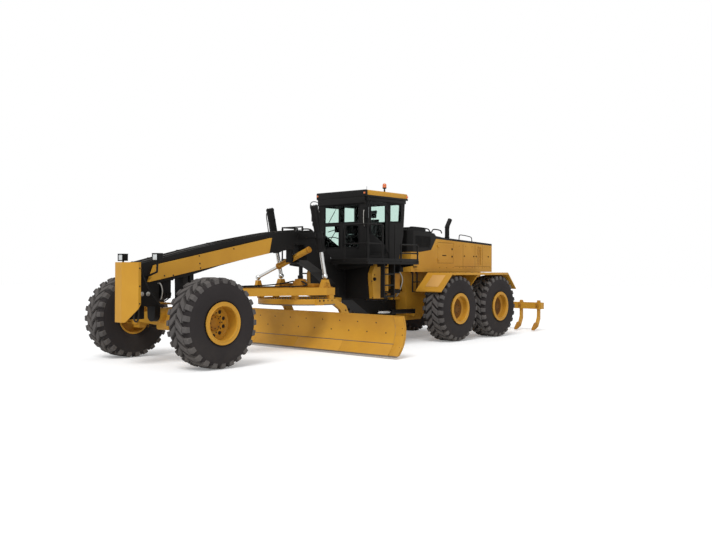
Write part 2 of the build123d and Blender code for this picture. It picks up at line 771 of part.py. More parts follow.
door_border = 75
door_depth = 50
for side, side_name in ((1, "left"), (-1, "right")):
    outer = side * cab_half_width
    inner = side * (cab_half_width - door_depth)
    hinge_y = side * (cab_half_width + hinge_offset)
    with BuildPart() as cab_door:
        slab((door_rear_x + door_gap, door_front_x - door_gap), (inner, outer), (door_bottom_z + door_gap, door_top_z - door_gap))
        slab(
            (door_rear_x + door_gap + door_border, door_front_x - door_gap - door_border),
            (side * (cab_half_width - 200), side * (cab_half_width + 200)),
            (door_bottom_z + door_gap + door_border, door_top_z - door_gap - door_border),
            mode=Mode.SUBTRACT,
        )
        for height in hinge_heights:
            slab((door_rear_x, door_rear_x + 70), (side * (cab_half_width - 5), hinge_y + side * 6), (height - 40, height + 30))
            bar((door_rear_x, hinge_y, height - 40), (door_rear_x, hinge_y, height + 30), 16)
            bar(
                (door_rear_x, hinge_y, height - 50), (door_rear_x, hinge_y, height + 50),
                8 + bearing_gap, mode=Mode.SUBTRACT,
            )
    keep(cab_door, f"cab_door_{side_name}")
    with BuildPart() as door_glass:
        middle = side * (cab_half_width - door_depth / 2)
        slab(
            (door_rear_x + door_gap + door_border + seat_gap, door_front_x - door_gap - door_border - seat_gap),
            (middle - glass_thickness / 2, middle + glass_thickness / 2),
            (door_bottom_z + door_gap + door_border + seat_gap, door_top_z - door_gap - door_border - seat_gap),
        )
    keep(door_glass, f"door_glass_{side_name}")

beacon_x = -910
beacon_y = 300
with BuildPart() as cab_roof:
    slab((roof_front_x - roof_length, roof_front_x), (-roof_half_width, roof_half_width), (cab_top_z, roof_top_z))
    with Locations((beacon_x, beacon_y, roof_top_z + 30)):
        Cylinder(70, 60)
    bar((beacon_x, beacon_y, roof_top_z), (beacon_x, beacon_y, roof_top_z + 230), 22)
    bar((beacon_x, beacon_y, roof_top_z + 200), (beacon_x, beacon_y, roof_top_z + 360), 65)
keep(cab_roof, "cab_roof")

cabin_floor_z = deck_z + cab_wall
with BuildPart() as seat_console:
    slab((-420, 0), (-180, 180), (cabin_floor_z, cabin_floor_z + 350))
    slab((-480, 60), (-260, 260), (cabin_floor_z + 350, cabin_floor_z + 500))
    side_plate(
        (
            (-420, cabin_floor_z + 500), (-560, cabin_floor_z + 1220), (-680, cabin_floor_z + 1220),
            (-560, cabin_floor_z + 500),
        ),
        -240, 240,
    )
    slab((-680, -570), (-150, 150), (cabin_floor_z + 1220, cabin_floor_z + 1480))
    side_plate(
        (
            (330, cabin_floor_z), (500, cabin_floor_z), (460, cabin_floor_z + 700), (200, cabin_floor_z + 780),
            (180, cabin_floor_z + 730), (360, cabin_floor_z + 600),
        ),
        -170, 170,
    )
keep(seat_console, "seat_console")

# Walkways round the cab with rails and ladder
ladder_x = (320, 760)
ladder_foot_z = 1400
handrail_end_x = 850
rear_rail_front_x = 30
with BuildPart() as platform:
    slab((deck_rear_x, 1000), (-deck_edge_y, deck_edge_y), (deck_z - deck_thickness, deck_z))
    for side in (-1, 1):
        slab((1000, deck_front_x), (side * 320, side * deck_edge_y), (deck_z - deck_thickness, deck_z))
        outer = side * (deck_edge_y - rail_radius - 5)
        post_spots = (
            (handrail_end_x, outer, rail_top_z), (deck_front_x - 30, outer, rail_top_z),
            (deck_front_x - 30, side * 840, rail_top_z), (ladder_x[0] - 20, outer, rail_top_z),
            (deck_rear_x + 30, outer, rear_rail_z), (rear_rail_front_x, outer, rear_rail_z),
        )
        for post_x, post_y, post_top_z in post_spots:
            bar((post_x, post_y, deck_z - 10), (post_x, post_y, post_top_z + rail_radius), rail_radius + 3)
        for level in (rear_rail_z, rail_top_z):
            bar((handrail_end_x, outer, level), (deck_front_x - 30, outer, level), rail_radius)
            bar((deck_front_x - 30, outer, level), (deck_front_x - 30, side * 840, level), rail_radius)
        for level in (2660, rear_rail_z):
            bar((deck_rear_x + 30, outer, level), (rear_rail_front_x, outer, level), rail_radius)
        for stile in ladder_x:
            slab((stile - 15, stile + 15), (side * 1560, side * 1700), (ladder_foot_z, deck_z - 10))
        for rung in range(3):
            step_z = ladder_foot_z + 20 + 310 * rung
            slab(ladder_x, (side * 1580, side * 1690), (step_z, step_z + 40))
keep(platform, "platform")

tank_top_z = deck_z - deck_thickness - seat_gap
with BuildPart() as side_tanks:
    for side in (-1, 1):
        side_plate(
            ((300, 1370), (760, 1370), (830, 1900), (830, 2080), (700, tank_top_z), (300, tank_top_z)),
            side * 1150, side * 1300,
        )
        bar((130, side * 1215, 1540), (130, side * 1215, tank_top_z), 80)
keep(side_tanks, "side_tanks")

# Rear frame with the hitch fork, axle housing and ripper lugs
rail_out = rail_half_gap + rail_width
axle_housing_radius = 260
tandem_pin_radius = 150
tandem_in_y = 980
tandem_out_y = 1270
ripper_foot = (-6080, 300, 1700)
ripper_eye = (-7300, 300, 1025)
with BuildPart() as rear_frame:
    for side in (-1, 1):
        side_plate(
            (
                (-1740, hitch_bottom_z - hitch_plate - 5), (-2500, hitch_bottom_z - hitch_plate - 5), (-2900, 1000),
                (hood_rear_x + 5, 1000), (hood_rear_x + 5, 2120), (hood_front_x - 130, 2120), (-1740, 1500),
            ),
            side * rail_half_gap, side * rail_out,
        )
        slab((hood_rear_x, hood_front_x), (side * rail_half_gap, side * hood_half_width), (2120, hood_bottom_z))
        slab((-1950, -1790), (side * (rail_out - 20), side * 790), (760, 828))
        bar(
            (steer_foot_x, side * steer_foot_y, 820), (steer_foot_x, side * steer_foot_y, steer_foot_z + 75), 30,
        )
        for plate in (435, 570):
            side_plate(
                ((-5950, 760), (-6100, 760), (-6140, 900), (-6100, 1010), (-5950, 1100)),
                side * plate, side * (plate + 32),
            )
        bar(
            (ripper_pivot_x, side * 430, ripper_pivot_z), (ripper_pivot_x, side * 606, ripper_pivot_z), 40,
        )
        for plate in (200, 365):
            slab(
                (ripper_foot[0] - 60, hood_rear_x + 100), (side * plate, side * (plate + 35)),
                (ripper_foot[2] - 90, ripper_foot[2] + 90),
            )
        bar(
            (ripper_foot[0], side * 195, ripper_foot[2]), (ripper_foot[0], side * 405, ripper_foot[2]), 30,
        )
    slab((-1900, -1740), (-rail_out, rail_out), (hitch_bottom_z - hitch_plate - 5, 1500))
    slab((hood_rear_x + 5, hood_rear_x + 120), (-rail_out, rail_out), (1000, 2120))
    for low in (hitch_bottom_z - hitch_plate - 5, hitch_top_z + 5):
        slab((-1800, -1280), (-260, 260), (low, low + hitch_plate))
    bar((hitch_x, 0, hitch_bottom_z - hitch_plate - 20), (hitch_x, 0, hitch_top_z + hitch_plate + 20), hitch_pin_radius)
    for beam_x in (-2900, -4800):
        slab((beam_x - 100, beam_x + 100), (-rail_out, rail_out), (1100, 1400))
    bar((mid_tandem_x, -tandem_in_y + 8, axle_z), (mid_tandem_x, tandem_in_y - 8, axle_z), axle_housing_radius)
    bar((mid_tandem_x, -1180, axle_z), (mid_tandem_x, 1180, axle_z), tandem_pin_radius)
    slab((hood_rear_x - 135, hood_rear_x + 20), (-70, 70), (1250, 1250 + tow_plate))
    bar((hood_rear_x - 65, 0, 1200), (hood_rear_x - 65, 0, 1350), tow_bore, mode=Mode.SUBTRACT)
keep(rear_frame, "rear_frame")

with BuildPart() as engine_block:
    slab((-4950, -2750), (20 - rail_half_gap, rail_half_gap - 20), (1400, 2950))
keep(engine_block, "engine_block")

# Hood
hood_side = (
    (hood_rear_x, hood_bottom_z), (hood_rear_x, 3030), (-2698, 3170), (-2432, 2809), (-1859, 2736),
    (hood_front_x, 2732), (hood_front_x, hood_bottom_z),
)
with BuildPart() as hood_shell:
    side_plate(hood_side, -hood_half_width, hood_half_width)
    slab(
        (hood_rear_x + hood_wall, hood_front_x - hood_wall), (hood_wall - hood_half_width, hood_half_width - hood_wall),
        (hood_bottom_z - 1, 3300), mode=Mode.SUBTRACT,
    )
    slab(
        (engine_door_rear_x, engine_door_front_x), (-hood_half_width - 1, hood_half_width + 1), (engine_door_bottom_z, engine_door_top_z),
        mode=Mode.SUBTRACT,
    )
    for side in (-1, 1):
        slab(
            louvre_x, (side * (hood_half_width - 20), side * (hood_half_width + 1)),
            louvre_z, mode=Mode.SUBTRACT,
        )
        for slat_z in range(louvre_z[0] + 20, louvre_z[1] - 30, 50):
            slab(louvre_x, (side * (hood_half_width - 21), side * (hood_half_width - 4)), (slat_z, slat_z + 24))
    slab((hood_rear_x - 1, hood_rear_x + 60), (-700, 700), (2320, 2900), mode=Mode.SUBTRACT)
    for bar_z in range(2360, 2900, 90):
        slab((hood_rear_x + 5, hood_rear_x + 30), (-700, 700), (bar_z, bar_z + 30))
keep(hood_shell, "hood_shell")

for side, side_name in ((1, "left"), (-1, "right")):
    hinge_y = side * (hood_half_width + hinge_offset)
    with BuildPart() as engine_door:
        slab(
            (engine_door_rear_x + door_gap, engine_door_front_x - door_gap),
            (side * (hood_half_width - hood_wall), side * hood_half_width),
            (engine_door_bottom_z + door_gap, engine_door_top_z - door_gap),
        )
        for height in (2520, 2940):
            slab(
                (engine_door_front_x - 70, engine_door_front_x), (side * (hood_half_width - 5), hinge_y + side * 6),
                (height - 30, height + 30),
            )
            bar((engine_door_front_x, hinge_y, height - 30), (engine_door_front_x, hinge_y, height + 30), 16)
    keep(engine_door, f"engine_door_{side_name}")

with BuildPart() as hood_deck:
    side_plate(
        (
            (hood_rear_x, 3030), (-2698, 3170), (-2432, 2809), (-1859, 2736), (hood_front_x, 2732),
            (hood_front_x, cowl_top_z), (-2600, cowl_top_z - 60), (-2720, 3240), (hood_rear_x, 3095),
        ),
        -hood_half_width, hood_half_width,
    )
    side_plate(
        (
            (-2560, 3130), (-2370, 2870), (-1859, 2700), (hood_front_x - hood_wall, 2700),
            (hood_front_x - hood_wall, cowl_top_z - 50), (-2560, cowl_top_z - 110),
        ),
        hood_wall - hood_half_width, hood_half_width - hood_wall, mode=Mode.SUBTRACT,
    )
    for side in (-1, 1):
        plan_plate(
            (
                (hood_front_x + 1, side * (hood_half_width - 172)), (hood_front_x + 1, side * (hood_half_width + 1)),
                (hood_front_x - cowl_cut - 1, side * (hood_half_width + 1)),
            ),
            2700, cowl_top_z + 1, mode=Mode.SUBTRACT,
        )
        plan_plate(
            (
                (hood_front_x, side * (hood_half_width - 170)), (hood_front_x - cowl_cut, side * hood_half_width),
                (hood_front_x - cowl_cut - 60, side * hood_half_width),
                (hood_front_x - hood_wall - 5, side * (hood_half_width - 210)),
                (hood_front_x, side * (hood_half_width - 210)),
            ),
            2738, cowl_top_z - 9,
        )
    slab((-2950, -2100), (-350, 350), (3200, 3540))
    slab((-3430, -3050), (-150, 250), (3180, 3450))
    bar((-4230, 300, 3120), (-4230, 300, 3214.7), 110)
    for side in (-1, 1):
        for step_z in (1500, 1800):
            slab((-1680, -1440), (side * 960, side * 1085), (step_z, step_z + 30))
        for hanger in (-1680, -1460):
            slab((hanger, hanger + 20), (side * 960, side * 1000), (1500, 2120))
            slab((hanger, hanger + 20), (side * 905, side * 1000), (2080, 2120))
keep(hood_deck, "hood_deck")

with BuildPart() as stacks:
    bar((-4230, 300, 3215), (-4230, 300, 3640), 75)
    bar((-4230, 300, 3640), (-4400, 300, 3890), 75)
    with Locations((-4230, 300, 3640)):
        Sphere(77)
keep(stacks, "stacks")

# Tandem cases with their fenders
for side, side_name in ((1, "left"), (-1, "right")):
    half = tandem_spacing / 2
    with BuildPart() as tandem:
        side_plate(
            (
                (mid_tandem_x - half - 280, 850), (mid_tandem_x - half - 280, 1160), (mid_tandem_x - 400, 1280),
                (mid_tandem_x + 400, 1280), (mid_tandem_x + half + 280, 1160), (mid_tandem_x + half + 280, 850),
                (mid_tandem_x + 400, 720), (mid_tandem_x - 400, 720),
            ),
            side * tandem_in_y, side * tandem_out_y,
        )
        for reach in (-1, 1):
            hub_x = mid_tandem_x + reach * half
            bar((hub_x, side * tandem_in_y, axle_z), (hub_x, side * (wheel_y + 4), axle_z), 150)
            bar((hub_x, side * tandem_in_y, axle_z), (hub_x, side * (wheel_y + 105), axle_z), spindle_radius)
        bar(
            (mid_tandem_x, side * (tandem_in_y - 10), axle_z), (mid_tandem_x, side * 1200, axle_z),
            tandem_pin_radius + bearing_gap, mode=Mode.SUBTRACT,
        )
        side_plate(
            (
                (-1445, 1520), (-2060, 2072), (-5240, 2072), (-5760, 1550), (-5780, 1568), (-5250, 2100),
                (-2050, 2100), (-1425, 1540),
            ),
            side * 1100, side * 2050,
        )
        cross_plate(
            ((side * 1100, 1200), (side * 1265, 1200), (side * 2000, 2080), (side * 1100, 2080)),
            mid_tandem_x - 30, mid_tandem_x + 30,
        )
        slab((-4100, -3000), (side * 1100, side * 1140), (1200, 2080))
    keep(tandem, f"tandem_{side_name}")

# Ripper
ripper_shank = (
    (-7960, 1100), (-7820, 1100), (-7820, 520), (-7720, 300), (-7480, 90), (-7520, 45), (-7800, 150), (-7960, 430),
)
with BuildPart() as ripper:
    slab((ripper_rear_x, ripper_rear_x + 230), (-ripper_beam_half_length, ripper_beam_half_length), (790, 1020))
    for side in (-1, 1):
        side_plate(
            ((ripper_pivot_x, 840), (ripper_pivot_x, 960), (-7780, 985), (-7780, 825)),
            side * (ripper_arm_y - 40), side * (ripper_arm_y + 40),
        )
        bar(
            (ripper_pivot_x, side * (ripper_arm_y - 40), ripper_pivot_z),
            (ripper_pivot_x, side * (ripper_arm_y + 40), ripper_pivot_z), 75,
        )
        bar(
            (ripper_pivot_x, side * (ripper_arm_y - 60), ripper_pivot_z),
            (ripper_pivot_x, side * (ripper_arm_y + 60), ripper_pivot_z), 40 + bearing_gap, mode=Mode.SUBTRACT,
        )
    slab((-7370, -7230), (-ripper_arm_y, ripper_arm_y), (860, 920))
    for side in (-1, 1):
        for plate in (205, 365):
            slab((-7370, -7230), (side * plate, side * (plate + 30)), (910, 1085))
    for spot in (-1750, -1050, -350, 350, 1050, 1750):
        side_plate(ripper_shank, spot - 35, spot + 35)
keep(ripper, "ripper")

with BuildPart() as ripper_barrels:
    for side in (-1, 1):
        foot = (ripper_foot[0], side * ripper_foot[1], ripper_foot[2])
        eye = (ripper_eye[0], side * ripper_eye[1], ripper_eye[2])
        bar((foot[0], foot[1] - 60, foot[2]), (foot[0], foot[1] + 60, foot[2]), 62)
        cylinder_body(foot, eye, 10, 900, 60, 35, 300)
        bar((foot[0], foot[1] - 80, foot[2]), (foot[0], foot[1] + 80, foot[2]), 30 + bearing_gap, mode=Mode.SUBTRACT)
keep(ripper_barrels, "ripper_barrels")

with BuildPart() as ripper_rods:
    for side in (-1, 1):
        foot = (ripper_foot[0], side * ripper_foot[1], ripper_foot[2])
        eye = (ripper_eye[0], side * ripper_eye[1], ripper_eye[2])
        bar(along(foot, eye, 640), eye, 35)
        bar((eye[0], eye[1] - 60, eye[2]), (eye[0], eye[1] + 60, eye[2]), 60)
keep(ripper_rods, "ripper_rods")
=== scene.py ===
import math

import bmesh
import bpy
from mathutils import Matrix, Vector


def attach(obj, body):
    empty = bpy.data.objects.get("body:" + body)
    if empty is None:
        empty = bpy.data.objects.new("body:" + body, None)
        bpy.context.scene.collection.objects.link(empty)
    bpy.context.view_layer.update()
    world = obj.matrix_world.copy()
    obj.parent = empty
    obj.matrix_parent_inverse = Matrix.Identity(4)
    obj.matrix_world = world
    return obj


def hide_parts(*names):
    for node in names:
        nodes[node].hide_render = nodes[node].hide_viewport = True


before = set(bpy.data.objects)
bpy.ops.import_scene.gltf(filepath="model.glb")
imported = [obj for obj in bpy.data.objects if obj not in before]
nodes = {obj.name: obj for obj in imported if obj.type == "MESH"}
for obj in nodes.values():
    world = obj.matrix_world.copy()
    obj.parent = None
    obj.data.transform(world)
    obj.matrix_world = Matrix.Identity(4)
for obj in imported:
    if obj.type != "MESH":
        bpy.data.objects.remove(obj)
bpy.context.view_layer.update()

scene = bpy.context.scene
print("grader: frame loaded with", len(nodes), "nodes")

# node helpers: a socket given as an input is linked, anything else becomes the input's own value


def fill(tree, node, inputs):
    for key, value in inputs.items():
        if isinstance(value, bpy.types.NodeSocket):
            tree.links.new(value, node.inputs[key])
        else:
            node.inputs[key].default_value = value


def addNode(tree, kind, inputs=None, **settings):
    node = tree.nodes.new("ShaderNode" + kind)
    for key, value in settings.items():
        setattr(node, key, value)
    fill(tree, node, inputs or {})
    return node


def newGroup(name, inputs, outputs):
    group = bpy.data.node_groups.new(name, "ShaderNodeTree")
    for key, value in inputs.items():
        socket = group.interface.new_socket(name=key, in_out="INPUT", socket_type="NodeSocketFloat")
        socket.default_value = value
    for key, kind in outputs.items():
        group.interface.new_socket(name=key, in_out="OUTPUT", socket_type="NodeSocket" + kind)
    return group, group.nodes.new("NodeGroupInput"), group.nodes.new("NodeGroupOutput")


def newMaterial(name):
    material = bpy.data.materials.new(name)
    material.use_nodes = True
    return material, material.node_tree, material.node_tree.nodes["Principled BSDF"]


# camera, floor and light
view = {
    "place": (17.3857, 15.4492, 2.1993),
    "heading": -2.4137,      # radians from +X
    "lift": 0.0027,
    "roll": 0.0039,
    "lens": 39.26,
    "floorGrey": 0.90,
    "floorGlow": 0.22,       # what the floor adds where the camera sees it
    "skyLight": 0.55,
    "sunPower": 1.75,
    "sunFrom": (0.72, 0.34, 1.0),
    "sunSpread": 28,         # degrees
    "panelPower": 420,
    "panelPlace": (13, 17, 8),
    "panelAim": (13, 17, 6),
}


def addToScene(name, data):
    made = bpy.data.objects.new(name, data)
    scene.collection.objects.link(made)
    return made


def placeCamera():
    camData = bpy.data.cameras.new("viewCamera")
    camData.lens = view["lens"]
    camData.sensor_width = 36
    camData.clip_end = 200
    camera = addToScene("viewCamera", camData)
    ahead = Vector((
        math.cos(view["lift"]) * math.cos(view["heading"]),
        math.cos(view["lift"]) * math.sin(view["heading"]),
        math.sin(view["lift"]),
    ))
    right = ahead.cross(Vector((0, 0, 1))).normalized()
    up = right.cross(ahead)
    rolledRight = math.cos(view["roll"]) * right + math.sin(view["roll"]) * up
    rolledUp = math.cos(view["roll"]) * up - math.sin(view["roll"]) * right
    turn = Matrix((rolledRight, rolledUp, -ahead)).transposed().to_4x4()
    camera.matrix_world = Matrix.Translation(view["place"]) @ turn
    scene.camera = camera


def backgroundRays(tree):
    # camera, mirror and see-through rays meet the white backdrop
    rays = addNode(tree, "LightPath").outputs
    either = addNode(tree, "Math", {0: rays["Is Camera Ray"], 1: rays["Is Glossy Ray"]}, operation="MAXIMUM")
    every = addNode(tree, "Math", {0: either.outputs[0], 1: rays["Is Transmission Ray"]}, operation="MAXIMUM")
    return every.outputs[0]


def addLight(name, kind, power, aim):
    light = bpy.data.lights.new(name, kind)
    light.energy = power
    lightObject = addToScene(name, light)
    lightObject.rotation_euler = Vector(aim).to_track_quat("Z", "Y").to_euler()
    return light, lightObject


def buildStudio():
    plainWhite = (1, 1, 1, 1)
    world = bpy.data.worlds.new("studio")
    scene.world = world
    world.use_nodes = True
    tree = world.node_tree
    tree.nodes.clear()
    sky = addNode(tree, "Background", {"Color": (0.97, 0.985, 1.0, 1), "Strength": view["skyLight"]})
    white = addNode(tree, "Background", {"Color": plainWhite, "Strength": 1.0})
    mix = addNode(tree, "MixShader", {0: backgroundRays(tree), 1: sky.outputs[0], 2: white.outputs[0]})
    addNode(tree, "OutputWorld", {"Surface": mix.outputs[0]})

    floorMat = bpy.data.materials.new("paleFloor")
    floorMat.use_nodes = True
    tree = floorMat.node_tree
    tree.nodes.clear()
    matt = addNode(tree, "BsdfDiffuse", {"Color": (view["floorGrey"],) * 3 + (1,)})
    scale = addNode(tree, "Math", {0: backgroundRays(tree), 1: view["floorGlow"]}, operation="MULTIPLY")
    glow = addNode(tree, "Emission", {"Color": plainWhite, "Strength": scale.outputs[0]})
    both = addNode(tree, "AddShader", {0: matt.outputs[0], 1: glow.outputs[0]})
    addNode(tree, "OutputMaterial", {"Surface": both.outputs[0]})
    bm = bmesh.new()
    bmesh.ops.create_grid(bm, x_segments=1, y_segments=1, size=80)
    mesh = bpy.data.meshes.new("floor")
    bm.to_mesh(mesh)
    bm.free()
    mesh.materials.append(floorMat)
    floor = addToScene("floor", mesh)

    sun = addLight("softSun", "SUN", view["sunPower"], view["sunFrom"])[0]
    sun.angle = math.radians(view["sunSpread"])
    # a broad panel in front brightens the sides that face the viewer
    panel, panelObject = addLight("frontPanel", "AREA", view["panelPower"], view["panelAim"])
    panel.shape = "RECTANGLE"
    panel.size = 14
    panel.size_y = 7
    panelObject.location = view["panelPlace"]
    scene.view_settings.view_transform = "Standard"


placeCamera()
buildStudio()

# shader groups


def edgeMaskGroup():
    tree, given, put = newGroup("edgeMask", {"Amount": 1.0, "Break Up": 6.0},
        {"Mask": "Float", "Round Normal": "Vector"})
    geo = addNode(tree, "NewGeometry")
    bevel = addNode(tree, "Bevel", {"Radius": 0.012}, samples=4)
    dot = addNode(tree, "VectorMath", {0: geo.outputs["True Normal"], 1: bevel.outputs[0]},
        operation="DOT_PRODUCT")
    edge = addNode(tree, "MapRange", {"From Min": 0.985, "From Max": 0.86, "Value": dot.outputs["Value"]})
    place = addNode(tree, "TexCoord").outputs["Object"]
    noise = addNode(tree, "TexNoise", {"Detail": 5.0, "Vector": place, "Scale": given.outputs["Break Up"]})
    patch = addNode(tree, "MapRange", {"From Min": 0.48, "From Max": 0.66, "Value": noise.outputs["Fac"]})
    both = addNode(tree, "Math", {0: edge.outputs[0], 1: patch.outputs[0]}, operation="MULTIPLY")
    scaled = addNode(
        tree, "Math", {0: both.outputs[0], 1: given.outputs["Amount"]}, operation="MULTIPLY", use_clamp=True,
    )
    fill(tree, put, {"Mask": scaled.outputs[0], "Round Normal": bevel.outputs[0]})
    return tree


def dustGroup():
    tree, given, put = newGroup("dustVeil", {"Amount": 0.3, "Top": 1.2}, {"Mask": "Float"})
    place = addNode(tree, "TexCoord").outputs["Object"]
    axes = addNode(tree, "SeparateXYZ", {0: place})
    low = addNode(tree, "MapRange", {
        "From Max": 0.0, "To Min": 0.0, "To Max": 1.0, "Value": axes.outputs["Z"],
        "From Min": given.outputs["Top"],
    })
    geo = addNode(tree, "NewGeometry")
    normal = addNode(tree, "SeparateXYZ", {0: geo.outputs["Normal"]})
    upward = addNode(tree, "MapRange", {"From Min": 0.35, "From Max": 1.0, "To Max": 0.5,
        "Value": normal.outputs["Z"]})
    either = addNode(tree, "Math", {0: low.outputs[0], 1: upward.outputs[0]}, operation="ADD", use_clamp=True)
    cloud = addNode(tree, "TexNoise", {"Scale": 2.6, "Detail": 8.0, "Roughness": 0.62, "Vector": place})
    patch = addNode(tree, "MapRange", {"From Min": 0.32, "From Max": 0.72, "Value": cloud.outputs["Fac"]})
    mixed = addNode(tree, "Math", {0: either.outputs[0], 1: patch.outputs[0]}, operation="MULTIPLY")
    scaled = addNode(
        tree, "Math", {0: mixed.outputs[0], 1: given.outputs["Amount"]}, operation="MULTIPLY", use_clamp=True,
    )
    fill(tree, put, {"Mask": scaled.outputs[0]})
    return tree


def grainGroup():
    tree, given, put = newGroup("fineGrain", {"Scale": 40.0, "Cloud Scale": 1.4},
        {"Height": "Float", "Cloud": "Float"})
    place = addNode(tree, "TexCoord").outputs["Object"]
    fine = addNode(tree, "TexNoise", {"Detail": 3.0, "Vector": place, "Scale": given.outputs["Scale"]})
    broad = addNode(tree, "TexNoise", {"Detail": 4.0, "Vector": place, "Scale": given.outputs["Cloud Scale"]})
    fill(tree, put, {"Height": fine.outputs["Fac"], "Cloud": broad.outputs["Fac"]})
    return tree


edgeMask = edgeMaskGroup()
dustVeil = dustGroup()
fineGrain = grainGroup()


def shade(rgb):
    # written as screen colours from 0 to 255
    linear = []
    for value in rgb:
        v = value / 255
        linear.append(v / 12.92 if v <= 0.04045 else ((v + 0.055) / 1.055) ** 2.4)
    return (*linear, 1)


def finish(name, tone, look):
    material, tree, shader = newMaterial(name)
    fill(tree, shader, {
        "Metallic": look.get("metallic", 0.0),
        "Coat Weight": look.get("coat", 0.0),
        "Coat Roughness": 0.2,
        "Specular IOR Level": look.get("specular", 0.5),
    })
    grain = addNode(tree, "Group", {"Scale": look.get("grainScale", 60), "Cloud Scale": 1.3},
        node_tree=fineGrain)
    edge = addNode(tree, "Group", {"Amount": look.get("edge", 0.6), "Break Up": 5.0}, node_tree=edgeMask)
    dust = addNode(tree, "Group", {"Amount": look.get("dust", 0.25), "Top": look.get("dustTop", 1.6)},
        node_tree=dustVeil)
    cloud = addNode(tree, "MapRange", {"From Min": 0.35, "From Max": 0.68, "To Max": 0.8,
        "Value": grain.outputs["Cloud"]})
    colour = shade(tone)
    for mask, over in (
        (cloud.outputs[0], look.get("second", tone)),
        (dust.outputs["Mask"], look.get("dustTone", (150, 132, 106))),
        (edge.outputs["Mask"], look.get("edgeTone", (112, 98, 84))),
    ):
        mix = addNode(tree, "Mix", {"A": colour, "B": shade(over), "Factor": mask}, data_type="RGBA")
        colour = mix.outputs["Result"]
    rough = look.get("rough", 0.4)
    roughness = addNode(tree, "MapRange", {
        "To Min": rough, "To Max": look.get("roughMax", rough + 0.16), "Value": grain.outputs["Cloud"],
    })
    dusty = addNode(
        tree, "Math", {0: dust.outputs["Mask"], 1: 0.35,
            2: roughness.outputs[0]}, operation="MULTIPLY_ADD", use_clamp=True,
    )
    bump = addNode(tree, "Bump", {
        "Strength": look.get("bump", 0.08), "Distance": look.get("bumpDepth",
            0.002), "Height": grain.outputs["Height"],
    })
    if look.get("round", True):
        fill(tree, bump, {"Normal": edge.outputs["Round Normal"]})
    fill(tree, shader, {"Base Color": colour, "Roughness": dusty.outputs[0], "Normal": bump.outputs[0]})
    return material


